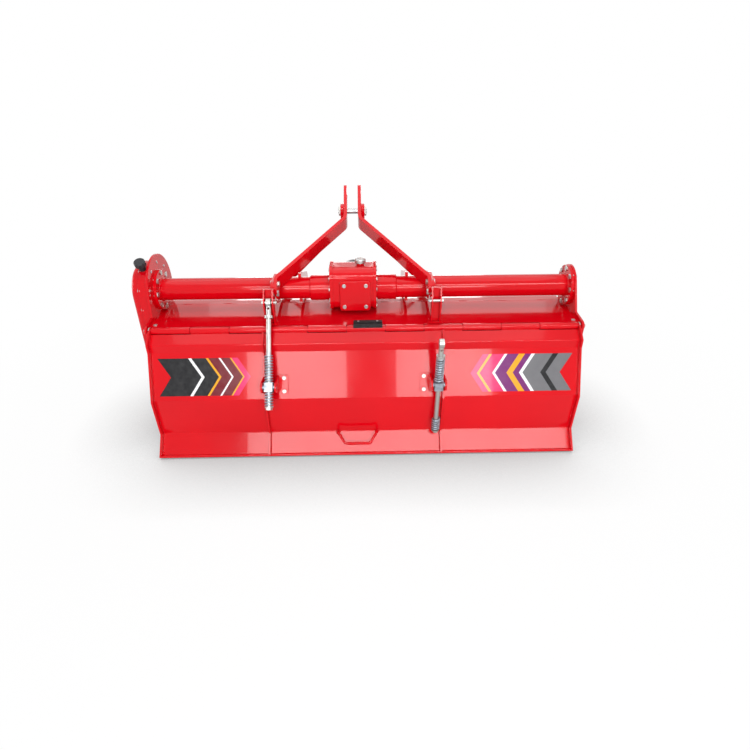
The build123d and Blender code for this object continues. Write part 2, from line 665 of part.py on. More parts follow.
def spring_rod():
    """Rod with a slotted eye and a cross hole, a collar, and a washer and nut under the lower spring."""
    nut_top = LOWER_START - END_WASHER
    foot = nut_top - END_NUT
    rod = upright(ROD_RADIUS, foot, ROD_REACH)
    rod += upright(COLLAR_RADIUS, COLLAR_AT - COLLAR_LENGTH / 2, COLLAR_AT + COLLAR_LENGTH / 2)
    rod += upright(SPRING_RADIUS, nut_top, LOWER_START)
    rod += Pos(0, 0, foot) * extrude(RegularPolygon(END_NUT_RADIUS, 6), amount=END_NUT)
    rod += Pos(0, 0, ROD_REACH) * Rot(Y=90) * Cylinder(EYE_RADIUS, EYE_THICK)
    slot = SlotOverall(2 * (ANCHOR_PIN_RADIUS + EYE_SLIP_ALONG), 2 * (ANCHOR_PIN_RADIUS + EYE_SLIP_ACROSS))
    rod -= Pos(0, 0, ROD_REACH) * Rot(Y=90) * extrude(slot, amount=EYE_THICK, both=True)
    hole = Cylinder(ROD_HOLE_RADIUS, EYE_THICK + EYE_RADIUS)
    return rod - Pos(0, 0, ROD_REACH - ROD_HOLE_DOWN) * Rot(X=90) * hole


def rod_bracket():
    """Right U-channel, open to the rear, that stands on the hood and takes the rod's pin."""
    front = ANCHOR[0] + CHANNEL_FRONT_ROOM
    back = front - CHANNEL_DEPTH
    heel = front - CHANNEL_FOOT
    top = ANCHOR[1] + CHANNEL_TOP_ROOM
    left = ROD_OFFSET - CHANNEL_WIDTH / 2
    right = ROD_OFFSET + CHANNEL_WIDTH / 2
    edge, bend = HOOD_OUTLINE[:2]
    slope = (bend[1] - edge[1]) / (bend[0] - edge[0])
    foot_front = (front, edge[1] + (front - edge[0]) * slope)
    foot_back = (heel, edge[1] + (heel - edge[0]) * slope)
    wall = Polyline(foot_front, (front, top), (front - CHANNEL_DEPTH / 2, top), (back, ANCHOR[1]),
                    (back, ANCHOR[1] - CHANNEL_CHIN), foot_back, close=True)
    bracket = slab(make_face(wall), left, right)
    hollow = Pos((front + back) / 2 - CHANNEL_WALL, top / 2) * Rectangle(CHANNEL_DEPTH, 2 * top)
    bracket -= slab(hollow, left + CHANNEL_WALL, right - CHANNEL_WALL)
    foot = make_face(offset(Polyline(foot_back, foot_front), CHANNEL_WALL, side=Side.LEFT))
    bracket += slab(foot, left - CHANNEL_FOOT_LAP, right + CHANNEL_FOOT_LAP)
    return bracket - round_bar(ANCHOR, ANCHOR_PIN_RADIUS, left, right)


def anchor_pin():
    """Right bracket's cross pin with its head on the outer side."""
    left = ROD_OFFSET - CHANNEL_WIDTH / 2
    right = ROD_OFFSET + CHANNEL_WIDTH / 2
    pin = round_bar(ANCHOR, ANCHOR_PIN_RADIUS, left - ANCHOR_PIN_TAIL, right)
    return pin + round_bar(ANCHOR, ANCHOR_HEAD_RADIUS, right, right + ANCHOR_HEAD_THICK)


# Mast and hitch

def bent_bar(foot, angle, stations, width):
    """Flat bar with rounded ends, on a slope and stepped sideways; stations are (sideways, along)."""
    turn = radians(angle)
    plane = Plane(origin=(0, *foot), x_dir=(1, 0, 0), z_dir=(0, -sin(turn), cos(turn)))
    bar = extrude(plane * strip(stations, MAST_THICK, Side.LEFT, 2 * MAST_THICK), amount=width / 2, both=True)
    return fillet(bar.edges().filter_by(Axis.X), BAR_END_ROUND)


def mast_bar():
    """Right mast bar: on the hitch plate's inner face, splayed in to the top link, with its two holes."""
    inner = MAST_GAP / 2 + MAST_THICK
    end = MAST_PIN_AT + TOP_HOLE_PITCH + MAST_END_ROOM
    stations = [(HITCH_FACE, -MAST_FOOT_LENGTH), (HITCH_FACE, 0), (inner, MAST_SPLAY), (inner, end)]
    bar = bent_bar(MAST_FOOT, MAST_ANGLE, stations, MAST_WIDTH)
    bar -= round_bar(TOP_PIN, TOP_PIN_RADIUS, 0, inner)
    return bar - round_bar(TOP_HOLE, TOP_PIN_RADIUS + TOP_HOLE_ROOM, 0, inner)


def front_stay():
    """Right stay from the top-link pin down to the hitch plate."""
    inner = MAST_GAP / 2 + 2 * MAST_THICK
    rise = hypot(TOP_PIN[0] - STAY_FOOT[0], TOP_PIN[1] - STAY_FOOT[1])
    angle = degrees(atan2(TOP_PIN[1] - STAY_FOOT[1], TOP_PIN[0] - STAY_FOOT[0]))
    stations = [(HITCH_FACE, -STAY_END_ROOM), (HITCH_FACE, STAY_END_ROOM)]
    stations += [(inner, rise - 2 * STAY_END_ROOM), (inner, rise + STAY_END_ROOM)]
    bar = bent_bar(STAY_FOOT, angle, stations, STAY_WIDTH)
    return bar - round_bar(TOP_PIN, TOP_PIN_RADIUS, 0, inner)


def top_link_pin():
    half = TOP_PIN_LENGTH / 2
    pin = round_bar(TOP_PIN, TOP_PIN_RADIUS, -half, half)
    return chamfer(pin.edges().group_by(Axis.X)[0] + pin.edges().group_by(Axis.X)[-1], PIN_CHAMFER)


def hitch_plates():
    """Right pair of plates on the beam: a ring that also carries the mast bar, and a saddle on the front."""
    arm = hull((BEAM, HITCH_RING_RADIUS), (HITCH_ELBOW, HITCH_ELBOW_RADIUS))
    arm += hull((HITCH_ELBOW, HITCH_ELBOW_RADIUS), (LOWER_PIN, LOWER_EYE_RADIUS))
    arm -= disc(BEAM, BEAM_RADIUS) + disc(LOWER_PIN, LOWER_PIN_RADIUS)
    outer = arm + (hull((BEAM, HITCH_RING_RADIUS), (HITCH_LUG, HITCH_LUG_RADIUS)) - disc(BEAM, BEAM_RADIUS))
    rear_half = Rectangle(2 * HITCH_RING_RADIUS, 4 * HITCH_RING_RADIUS)
    saddle = arm - Pos(-HITCH_RING_RADIUS, BEAM_HEIGHT) * rear_half
    inner_face = HITCH_FACE - HITCH_SPREAD
    return Compound([
        slab(outer, HITCH_FACE, HITCH_FACE + HITCH_THICK),
        slab(saddle, inner_face, inner_face + HITCH_THICK),
    ])


def lower_pin():
    """Right lower-link pin through both plates, with a shoulder outside."""
    start = HITCH_FACE - HITCH_SPREAD
    pin = round_bar(LOWER_PIN, LOWER_PIN_RADIUS, start, LOWER_PIN_SHOULDER + LOWER_PIN_STUB)
    pin = chamfer(pin.edges().group_by(Axis.X)[-1], PIN_CHAMFER)
    return pin + round_bar(LOWER_PIN, LOWER_SHOULDER_RADIUS, HITCH_FACE + HITCH_THICK, LOWER_PIN_SHOULDER)


# Rotor

def blade():
    """L-blade on a disc's right face: an angled strip trimmed to its swept-back side outline."""
    half = BLADE_ROOT_WIDTH / 2
    root = SHAFT_RADIUS + BLADE_ROOT_GAP
    lean = radians(BLADE_LEAN)
    face = GANG_DISC_THICK / 2
    crest = BLADE_SWING + half * tan(lean)
    path = [(face, 0), (face, crest), (face + BLADE_REACH, crest)]
    section = Plane.XZ.offset(-half) * strip(path, BLADE_THICK, Side.RIGHT, BLADE_BEND)
    angle_strip = extrude(section, amount=2 * BLADE_SWING, dir=(0, -cos(lean), -sin(lean)))
    top = BLADE_SWING + BLADE_CUT_ROOM
    back = -BLADE_TIP_WIDTH - half / 2
    lead_knee = (half * BLADE_LEAD_KNEE[0], BLADE_SWING * BLADE_LEAD_KNEE[1])
    trail_knee = (-half * BLADE_TRAIL_KNEE[0], BLADE_SWING * BLADE_TRAIL_KNEE[1])
    lead = ThreePointArc((half, root), lead_knee, (-half / 2, top))
    trail = ThreePointArc((back, top - BLADE_HEEL), trail_knee, (-half, root))
    rim = Polyline(lead @ 1, (back, top), trail @ 0)
    outline = make_face(lead + rim + trail + Line(trail @ 1, lead @ 0))
    return angle_strip & slab(outline, 0, face + 2 * BLADE_REACH)


def blade_gang():
    """Disc with blades bolted to its two faces in turn."""
    gang = slab(Circle(GANG_DISC_RADIUS) - Circle(SHAFT_RADIUS), -GANG_DISC_THICK / 2, GANG_DISC_THICK / 2)
    right = blade()
    left = mirrored(right)
    for i in range(BLADES_PER_GANG):
        gang += Rot(X=i * 360 / BLADES_PER_GANG) * (right if i % 2 == 0 else left)
    return gang


def blade_gangs():
    margin = BLADE_SIDE_GAP + BLADE_REACH + GANG_DISC_THICK / 2
    first = -LEFT_REACH + margin
    pitch = (RIGHT_REACH - margin - first) / (GANG_COUNT - 1)
    gang = blade_gang()
    copies = [Pos(first + i * pitch, *ROTOR) * Rot(X=i * GANG_STAGGER) * gang for i in range(GANG_COUNT)]
    return Compound(copies)


def rotor_shaft():
    shaft = round_bar(ROTOR, SHAFT_RADIUS, -LEFT_REACH + SHAFT_END_GAP, RIGHT_REACH - SHAFT_END_GAP)
    return shaft + round_bar(ROTOR, STUB_RADIUS, LEFT_OUTER - STUB_SEAT, RIGHT_OUTER + STUB_SEAT)


# Skids

def skid(face, way):
    """Runner with a turned-up nose under a side plate, and two straps up its outer face."""
    run = [(-SKID_BACK, 0), (SKID_FRONT, 0), (SKID_FRONT + SKID_NOSE_LENGTH, SKID_NOSE_RISE)]
    inner = face - way * PLATE_THICK
    sole = strip(run, SKID_THICK, Side.LEFT, SKID_NOSE_BEND)
    runner = slab(sole, *sorted((inner, inner + way * SKID_WIDTH)))
    room = CASE_LOWER_RADIUS + SKID_STRAP_GAP
    for back in (ROTOR_AHEAD - room - SKID_STRAP_WIDTH, ROTOR_AHEAD + room):
        strap = Rectangle(SKID_STRAP_WIDTH, SKID_STRAP_TOP, align=Align.MIN)
        runner += slab(Pos(back, 0) * strap, *sorted((face, face + way * SKID_THICK)))
    return runner


def build():
    """Every piece by its name, about the gearbox's middle, the beam's axis and the floor."""
    pieces = {
        "beam_tube_left": beam_tube(-GEARBOX_WIDTH / 2, -LEFT_REACH),
        "beam_tube_right": beam_tube(GEARBOX_WIDTH / 2, RIGHT_REACH),
        "gearbox_housing": gearbox_housing(),
        "gearbox_rear_cover": gearbox_rear_cover(),
        "gearbox_breather": gearbox_breather(),
        "input_cover": input_cover(),
        "input_guard": input_guard(),
        "side_plate_left": side_plate(LEFT_TOP, LEFT_TOP_RADIUS, LEFT_OUTER, -LEFT_REACH),
        "side_plate_right": side_plate(BEAM, RIGHT_TOP_RADIUS, RIGHT_REACH, RIGHT_OUTER),
        "gear_case": gear_case(),
        "gear_case_cover": gear_case_cover(),
        "filler_cap": filler_cap(),
        "bearing_housing": bearing_housing(),
        "hood": hood(),
        "hinge_rod": hinge_rod(),
        "hinge_pad": hinge_pad(),
        "top_link_pin": top_link_pin(),
        "skid_left": skid(LEFT_OUTER, -1),
        "skid_right": skid(RIGHT_OUTER, 1),
        "rotor_shaft": rotor_shaft(),
        "blade_gangs": blade_gangs(),
        "input_shaft": input_shaft(),
        "tailboard_panel": tailboard_panel(),
        "tailboard_ribs": tailboard_ribs(),
        "tailboard_handle": tailboard_handle(),
    }
    pairs = {
        "mast_bar": mast_bar(),
        "front_stay": front_stay(),
        "hitch_plates": hitch_plates(),
        "lower_pin": lower_pin(),
        "rod_bracket": rod_bracket(),
        "anchor_pin": anchor_pin(),
        "inner_ear": inner_ear(),
    }
    for name, right in pairs.items():
        pieces[name + "_right"] = right
        pieces[name + "_left"] = mirrored(right)
    for name, side, lean, drop in (("left", -1, ROD_LEAN, 0), ("right", 1, -RIGHT_ROD_LEAN, RIGHT_ROD_DROP)):
        plane = rod_plane(side, lean)
        pieces[name + "_trunnion"] = plane * trunnion()
        pieces[name + "_upper_spring"] = plane * spring(UPPER_START, UPPER_SPRING)
        pieces[name + "_rod"] = plane * Pos(0, 0, -drop) * spring_rod()
        pieces[name + "_lower_spring"] = plane * spring(LOWER_START - drop, LOWER_SPRING)
    return pieces


PIECES = build()
EXTENT = Compound(list(PIECES.values())).bounding_box()
SHIFT = (-EXTENT.center().X, -EXTENT.center().Y, -EXTENT.min.Z)

os.makedirs("parts", exist_ok=True)
for node, piece in PIECES.items():
    export_step(Pos(*SHIFT) * piece, f"parts/{node}.step")
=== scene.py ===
import json
from math import acos, atan2, ceil, cos, pi, radians, sin, sqrt

import bmesh
import bpy
from mathutils import Matrix, Vector


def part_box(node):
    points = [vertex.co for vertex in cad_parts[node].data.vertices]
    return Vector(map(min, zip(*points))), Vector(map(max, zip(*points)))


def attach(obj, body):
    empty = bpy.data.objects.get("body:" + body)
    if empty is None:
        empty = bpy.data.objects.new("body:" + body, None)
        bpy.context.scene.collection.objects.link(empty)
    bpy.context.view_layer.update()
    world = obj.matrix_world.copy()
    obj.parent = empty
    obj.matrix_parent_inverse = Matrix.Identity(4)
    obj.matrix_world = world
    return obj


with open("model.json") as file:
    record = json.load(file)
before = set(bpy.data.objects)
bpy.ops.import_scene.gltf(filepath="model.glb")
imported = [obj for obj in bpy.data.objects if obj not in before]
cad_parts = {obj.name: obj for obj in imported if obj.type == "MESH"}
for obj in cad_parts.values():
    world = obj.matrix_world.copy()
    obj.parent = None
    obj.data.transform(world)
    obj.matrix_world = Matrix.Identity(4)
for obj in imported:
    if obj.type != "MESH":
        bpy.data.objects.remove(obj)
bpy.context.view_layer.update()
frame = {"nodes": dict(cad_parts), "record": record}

bl_info = {
    "name": "Rotavator looks",
    "version": (1, 0, 0),
    "blender": (4, 5, 0),
    "location": "3D View > Sidebar > Rotavator",
    "description": "Fasteners, welds, clips, stripes, finishes and a studio for a rotavator",
    "category": "Object",
}


def middle(node):
    low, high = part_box(node)
    return (low + high) / 2


SIDE, AHEAD, UP = Vector((1, 0, 0)), Vector((0, 1, 0)), Vector((0, 0, 1))

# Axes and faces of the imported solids
BEAM = middle("beam_tube_left")
ROTOR = middle("rotor_shaft")
HINGE = middle("hinge_rod")
TRUNNION = middle("right_trunnion")
CENTRE_X = middle("gearbox_housing").x
LEFT_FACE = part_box("side_plate_left")[0].x
RIGHT_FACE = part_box("side_plate_right")[1].x
HITCH_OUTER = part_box("hitch_plates_right")[1]
MAST_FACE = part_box("mast_bar_right")[1].x

# Sizes of the solids that the fittings sit on
PLATE_THICK = 0.010
BEAM_RADIUS = 0.051
FLANGE_THICK = 0.014
FLANGE_BOLT_CIRCLE = 0.080
FLANGE_BOLTS = 8
SLEEVE_LENGTH = 0.092
GEARBOX_CORNER = 0.053
GEARBOX_RIM_TOP = 0.114
COVER_BOLT_SQUARE = 0.100
RIM_BOLTS = 12
CASE_UPPER_RADIUS = 0.135
CASE_LOWER_RADIUS = 0.118
CASE_RIM = 0.013
CASE_BOLTS = 18
CASE_PLUGS = ((0, -0.060), (-0.020, 0.200))
BEARING_BOLT_CIRCLE = 0.063
BEARING_FLANGE_THICK = 0.013
BEARING_BOLTS = 6
GUARD_WALL = 0.005
GUARD_BOLT_CIRCLE = 0.063
GUARD_BOLTS = 6
MAST_THICK = 0.016
MAST_ANGLE = radians(37.4)
MAST_FOOT = Vector((0, -0.086, 0.056))
MAST_BOLT_STATIONS = (-0.062, -0.008)
STAY_FOOT = Vector((0, 0.268, -0.081))
TOP_PIN_RADIUS = 0.0125
TOP_PIN_PROUD = 0.012
HITCH_THICK = 0.014
RIB_THICK = 0.008
SKID_THICK = 0.008
SKID_STRAP_MIDDLE = 0.151
SKID_BOLT_HEIGHTS = (0.092, 0.130)
GANG_COUNT = 8
BLADES_PER_GANG = 6
GANG_STAGGER = radians(22.5)
GANG_DISC_THICK = 0.010
BLADE_THICK = 0.008
BLADE_REACH = 0.113
BLADE_BOLT_REACHES = (0.066, 0.090)
SHAFT_RADIUS = 0.044
EAR_FOOT_DROP = 0.025
EAR_BOLT_PITCH = 0.060
EAR_BOLT_INSET = 0.017
HOOD_BEND = 0.060
HOOD_NOSE = Vector((0, 0.215, 0.213))
HOOD_BOLT = Vector((0.022, 0.032, 0.0142))
PAD_BOLT_INSET = 0.022
HANDLE_MIDDLE = 0.010
HANDLE_WIDTH = 0.182
HANDLE_ROOT = 0.008
HANDLE_RADIUS = 0.006
ANCHOR_PIN_RADIUS = 0.006
LOWER_PIN_RADIUS = 0.014

# Sizes and places of the trim
RAIL_REACH = 0.066
RAIL_LAP = 0.003
RAIL_ROUND = 0.006
RAIL_TACKS = 10
RAIL_TACK_LENGTH = 0.040
# Dark rubber strip hung inside the hinge as painted shade, so the hinge gap shows dark
SHADE_STRIP_AHEAD = 0.024
SHADE_STRIP_TOP = 0.011
SHADE_STRIP_DEPTH = 0.052
SHADE_STRIP_THICK = 0.004
SHADE_STRIP_CURL = (0.3, 0.6, 1.0)
FLAP_RADIUS = 0.0165
FLAP_THICK = 0.005
FLAP_START = radians(150)
FLAP_ANGLE = radians(125)
CLIP_INSET = 0.006
CLIP_DROOP = radians(115)
LYNCH_INSET = 0.012
NIPPLE_RISE = 0.018
BRACKET_WELD_RISE = 0.006
FILM_TOP, FILM_FOOT = 0.026, 0.196
FILM_INSET = 0.034
LEFT_FILM_END = 0.444
RIGHT_FILM_END = 0.494
FILM_POINT = 0.055
FILM_THICK = 0.0004
FILM_LIFT = 0.0001

# The studio, from the gearbox, the beam's axis and the floor
FLOOR_SIDE = 60
# Reach of the painted shade that the floor's glow gets round the machine
FLOOR_SHADE_REACH = 0.5
FLOOR_FADE_START, FLOOR_FADE_END = 1.2, 2.6
BOX_REACH = 4.5
AIM_HEIGHT = 0.4

# Folds of the tailboard's outer face below the hinge, as (forward, up) from the hinge
TAIL_RUN = [
    (-0.016, -0.015), (-0.054, -0.048), (-0.052, -0.083),
    (-0.126, -0.287), (-0.101, -0.476), (-0.165, -0.563),
]
TAIL_STEP, TAIL_FOLD, TAIL_WAIST, TAIL_LIP = TAIL_RUN[2:]


def from_hinge(x, place):
    return Vector((x, HINGE.y + place[0], HINGE.z + place[1]))


def out_of(p, q):
    """Unit normal of the tailboard's outer face between two of its folds."""
    return Vector((0, q[1] - p[1], p[0] - q[0])).normalized()


MAIN_NORMAL = out_of(TAIL_STEP, TAIL_FOLD)
MAIN_DOWN = (from_hinge(0, TAIL_FOLD) - from_hinge(0, TAIL_STEP)).normalized()


def on_main_face(x, down):
    """Place on the tailboard's main face, measured down from its upper fold."""
    return from_hinge(x, TAIL_STEP) + MAIN_DOWN * down


def gang_stations():
    """Stations of the blade discs along X."""
    low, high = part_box("blade_gangs")
    first, last = low.x + BLADE_REACH, high.x - BLADE_REACH
    return [first + (last - first) * gang / (GANG_COUNT - 1) for gang in range(GANG_COUNT)]


class RotavatorFasteners(bpy.types.PropertyGroup):
    """Thread diameters of the bolts, and sizes of clips and welds."""

    flange_bolt: bpy.props.FloatProperty(
        name="Flange bolt", description="Thread of the beam flange bolts", default=0.014, unit="LENGTH")
    cover_bolt: bpy.props.FloatProperty(
        name="Cover bolt", description="Thread of the gearbox cover bolts", default=0.011, unit="LENGTH")
    rim_bolt: bpy.props.FloatProperty(
        name="Rim bolt", description="Thread of the gearbox rim bolts", default=0.010, unit="LENGTH")
    case_bolt: bpy.props.FloatProperty(
        name="Case bolt", description="Thread of the gear case cover bolts", default=0.0075, unit="LENGTH")
    guard_bolt: bpy.props.FloatProperty(
        name="Guard bolt", description="Thread of the shaft guard bolts", default=0.0055, unit="LENGTH")
    mast_bolt: bpy.props.FloatProperty(
        name="Mast bolt", description="Thread of the mast and stay bolts", default=0.016, unit="LENGTH")
    ear_bolt: bpy.props.FloatProperty(
        name="Ear bolt", description="Thread of the trunnion ear bolts", default=0.011, unit="LENGTH")
    pad_bolt: bpy.props.FloatProperty(
        name="Pad bolt", description="Thread of the rubber pad's bolts", default=0.006, unit="LENGTH")
    blade_bolt: bpy.props.FloatProperty(
        name="Blade bolt", description="Thread of the blade bolts", default=0.012, unit="LENGTH")
    weld_leg: bpy.props.FloatProperty(
        name="Weld leg", description="Width of a weld bead on each face", default=0.0045, unit="LENGTH")
    clip_wire: bpy.props.FloatProperty(
        name="Clip wire", description="Radius of the retaining clips' wire", default=0.0016, unit="LENGTH")


class RotavatorColours(bpy.types.PropertyGroup):
    """Colours of the finishes."""

    enamel: bpy.props.FloatVectorProperty(
        name="Enamel", description="Gloss paint", subtype="COLOR", default=(0.66, 0.001, 0.007))
    zinc: bpy.props.FloatVectorProperty(
        name="Zinc", description="Plated fasteners and rods", subtype="COLOR", default=(0.44, 0.45, 0.46))
    spring: bpy.props.FloatVectorProperty(
        name="Spring wire", description="Plated spring wire", subtype="COLOR", default=(0.42, 0.47, 0.54))
    forging: bpy.props.FloatVectorProperty(
        name="Forging", description="Dark forged blades", subtype="COLOR", default=(0.055, 0.052, 0.050))
    rubber: bpy.props.FloatVectorProperty(
        name="Rubber", description="Hinge pad", subtype="COLOR", default=(0.014, 0.014, 0.015))
    plastic: bpy.props.FloatVectorProperty(
        name="Plastic", description="Guard and filler cap", subtype="COLOR", default=(0.018, 0.018, 0.020))


class RotavatorStudio(bpy.types.PropertyGroup):
    """Camera and light."""

    lens: bpy.props.FloatProperty(
        name="Lens", description="Focal length on a 36 mm sensor", default=25.776, unit="CAMERA")
    camera: bpy.props.FloatVectorProperty(
        name="Camera", description="Camera's place from the gearbox, the beam's axis and the floor",
        subtype="XYZ", unit="LENGTH", default=(0.049, -2.464, 1.502))
    pitch: bpy.props.FloatProperty(
        name="Pitch", description="Camera's tilt below the horizon", subtype="ANGLE", default=radians(27.5))
    yaw: bpy.props.FloatProperty(
        name="Yaw", description="Camera's turn to the right", subtype="ANGLE", default=radians(1.2))
    roll: bpy.props.FloatProperty(
        name="Roll", description="Camera's roll", subtype="ANGLE", default=radians(0.3))
    box_glow: bpy.props.FloatProperty(
        name="Soft box glow", description="Radiance of the soft boxes behind the camera", default=11.5)
    ceiling_glow: bpy.props.FloatProperty(
        name="Ceiling glow", description="Radiance of the light panels overhead and ahead", default=1.5)
    fill: bpy.props.FloatProperty(
        name="Fill", description="Strength of the even light from all round", default=0.18)


class Wire:
    """Output of a shader node that adds Math nodes when it is used in a sum."""

    def __init__(self, finish, socket):
        self.finish = finish
        self.socket = socket

    def math(self, operation, first, second):
        return self.finish.node("ShaderNodeMath", {"operation": operation}, {0: first, 1: second})

    def __add__(self, other):
        return self.math("ADD", self, other)

    def __radd__(self, other):
        return self.math("ADD", other, self)

    def __sub__(self, other):
        return self.math("SUBTRACT", self, other)

    def __rsub__(self, other):
        return self.math("SUBTRACT", other, self)

    def __mul__(self, other):
        return self.math("MULTIPLY", self, other)

    def __pow__(self, other):
        return self.math("POWER", self, other)


class Finish:
    """A material under construction."""

    def __init__(self, name, tree=None):
        self.material = None
        if tree is None:
            self.material = bpy.data.materials.new(name)
            self.material.use_nodes = True
            tree = self.material.node_tree
        self.tree = tree
        self.tree.nodes.clear()

    def node(self, kind, settings=None, sockets=None, out=0):
        """Add a node: its type, its settings, and the values or links of its sockets."""
        made = self.tree.nodes.new(kind)
        for key, value in (settings or {}).items():
            if key == "stops":
                self.set_stops(made.color_ramp, value)
            else:
                setattr(made, key, value)
        for key, value in (sockets or {}).items():
            if isinstance(value, Wire):
                self.tree.links.new(value.socket, made.inputs[key])
            else:
                made.inputs[key].default_value = value
        return Wire(self, made.outputs[out]) if len(made.outputs) else None

    def set_stops(self, ramp, stops):
        ramp.interpolation = "CONSTANT"
        while len(ramp.elements) < len(stops):
            ramp.elements.new(1)
        for element, (place, colour) in zip(ramp.elements, stops):
            element.position = place
            element.color = (*colour, 1)

    def here(self):
        return self.node("ShaderNodeTexCoord", out="Object")

    def noise(self, scale, detail=3):
        sockets = {"Vector": self.here(), "Scale": scale, "Detail": detail}
        return self.node("ShaderNodeTexNoise", None, sockets)

    def blend(self, share, first, second):
        """Mix two colours."""
        sockets = {"Factor": share, "A": first, "B": second}
        return self.node("ShaderNodeMix", {"data_type": "RGBA"}, sockets, out="Result")

    def between(self, value, low, high):
        """Stretch a value between low and high to 0 and 1."""
        return self.node("ShaderNodeMapRange", None, {"Value": value, "From Min": low, "From Max": high})

    def edges(self, radius):
        """Mask that is bright along the sharp edges of a solid, with the rounded normal that goes with it."""
        rounded = self.node("ShaderNodeBevel", {"samples": 4}, {"Radius": radius}, out="Normal")
        flat = self.node("ShaderNodeNewGeometry", out="Normal")
        sockets = {0: rounded, 1: flat}
        along = self.node("ShaderNodeVectorMath", {"operation": "DOT_PRODUCT"}, sockets, out="Value")
        return self.between(1 - along, 0.02, 0.2), rounded

    def bump(self, height, distance, strength, normal=None):
        sockets = {"Height": height, "Distance": distance, "Strength": strength}
        if normal is not None:
            sockets["Normal"] = normal
        return self.node("ShaderNodeBump", None, sockets)

    def surface(self, **sockets):
        """Close the material with one Principled shader; names are its sockets with _ for spaces."""
        named = {key.replace("_", " "): value for key, value in sockets.items()}
        shader = self.node("ShaderNodeBsdfPrincipled", None, named)
        self.node("ShaderNodeOutputMaterial", None, {"Surface": shader})
        return self.material


def rgba(colour, gain=1):
    return (*[min(1, channel * gain) for channel in colour], 1)


# Finishes

def red_enamel(colours):
    """Gloss paint on sheet and castings, with sheet waviness, orange peel and thinner paint on edges."""
    finish = Finish("red_enamel")
    edge, rounded = finish.edges(0.0018)
    tone = finish.between(finish.noise(2.4), 0.3, 0.7)
    body = finish.blend(tone, rgba(colours.enamel, 0.88), rgba(colours.enamel))
    worn = edge * finish.between(finish.noise(60), 0.45, 0.7)
    paint = finish.blend(worn * 0.2, body, rgba((0.80, 0.10, 0.10)))
    smear = finish.between(finish.noise(9, 5), 0.35, 0.75)
    sag = finish.bump(finish.noise(5, 1), 0.004, 0.06, rounded)
    peel = finish.bump(finish.noise(170, 1), 0.0006, 0.05, sag)
    return finish.surface(
        Base_Color=paint, Roughness=0.10 + smear * 0.08, Normal=peel, Specular_IOR_Level=0.12,
        Coat_Weight=0.25, Coat_Roughness=0.03)


def zinc_plate(colours):
    """Bright zinc with cool and straw-coloured passivation."""
    finish = Finish("zinc_plate")
    tint = finish.between(finish.noise(14), 0.35, 0.65)
    plate = finish.blend(tint * 0.7, rgba(colours.zinc), (0.50, 0.47, 0.40, 1))
    bloom = finish.between(finish.noise(70, 5), 0.4, 0.7)
    plate = finish.blend(bloom * 0.35, plate, (0.26, 0.28, 0.31, 1))
    grain = finish.bump(finish.noise(420, 2), 0.0003, 0.15)
    return finish.surface(Base_Color=plate, Metallic=0.9, Roughness=0.30 + bloom * 0.16, Normal=grain)


def spring_wire(colours):
    """Blue-grey plated wire, dull where the coils rub."""
    finish = Finish("spring_wire")
    patch = finish.between(finish.noise(55, 4), 0.35, 0.7)
    wire = finish.blend(patch, rgba(colours.spring), rgba(colours.spring, 0.55))
    grain = finish.bump(finish.noise(380, 2), 0.0003, 0.2)
    return finish.surface(Base_Color=wire, Metallic=0.9, Roughness=0.30 + patch * 0.18, Normal=grain)


def forged_blade(colours):
    """Oil-blackened forging with scale pits, bright along the edges and toward the cutting tips."""
    finish = Finish("forged_blade")
    edge, rounded = finish.edges(0.003)
    place = finish.node("ShaderNodeSeparateXYZ", None, {0: finish.here()}, out="Y")
    height = finish.node("ShaderNodeSeparateXYZ", None, {0: finish.here()}, out="Z")
    reach = ((place - ROTOR.y) ** 2 + (height - ROTOR.z) ** 2) ** 0.5
    tip = finish.between(reach, 0.19, 0.24)
    scale = finish.between(finish.noise(45, 6), 0.4, 0.65)
    steel = finish.blend(scale, rgba(colours.forging), rgba(colours.forging, 2.2))
    bright = tip * 0.30 + edge * 0.55
    steel = finish.blend(bright, steel, (0.42, 0.41, 0.39, 1))
    pits = finish.bump(finish.noise(140, 5), 0.0008, 0.35, rounded)
    return finish.surface(Base_Color=steel, Metallic=0.75, Roughness=0.52 - bright * 0.22, Normal=pits)


def hinge_rubber(colours):
    finish = Finish("hinge_rubber")
    chalk = finish.between(finish.noise(80, 4), 0.4, 0.75)
    black = finish.blend(chalk * 0.5, rgba(colours.rubber), rgba(colours.rubber, 4))
    skin = finish.bump(finish.noise(520, 2), 0.0004, 0.3)
    return finish.surface(
        Base_Color=black, Roughness=0.62 + chalk * 0.2, Normal=skin, Specular_IOR_Level=0.12)


def moulded_plastic(colours):
    finish = Finish("moulded_plastic")
    cloud = finish.between(finish.noise(30, 3), 0.35, 0.7)
    black = finish.blend(cloud, rgba(colours.plastic), rgba(colours.plastic, 1.8))
    texture = finish.bump(finish.noise(650, 1), 0.0003, 0.35)
    return finish.surface(
        Base_Color=black, Roughness=0.40 + cloud * 0.14, Normal=texture, Specular_IOR_Level=0.25)


def striped_film(name, stops):
    """Printed film: bars across its length under a clear gloss."""
    finish = Finish(name)
    along = finish.node("ShaderNodeSeparateXYZ", None, {0: finish.node("ShaderNodeUVMap")}, out="X")
    bars = finish.node("ShaderNodeValToRGB", {"stops": stops}, {"Fac": along})
    fade = finish.between(finish.noise(40, 3), 0.3, 0.8)
    aged = finish.blend(fade * 0.04, bars, (0.5, 0.5, 0.5, 1))
    ripple = finish.bump(finish.noise(9, 1), 0.002, 0.06)
    return finish.surface(
        Base_Color=aged, Roughness=0.16 + fade * 0.06, Normal=ripple, Specular_IOR_Level=0.2,
        Coat_Weight=0.25, Coat_Roughness=0.04)


# Modelling helpers

def deselect():
    bpy.ops.object.select_all(action="DESELECT")


def edit():
    bpy.ops.object.mode_set(mode="EDIT")


def leave():
    bpy.ops.object.mode_set(mode="OBJECT")
    return bpy.context.object


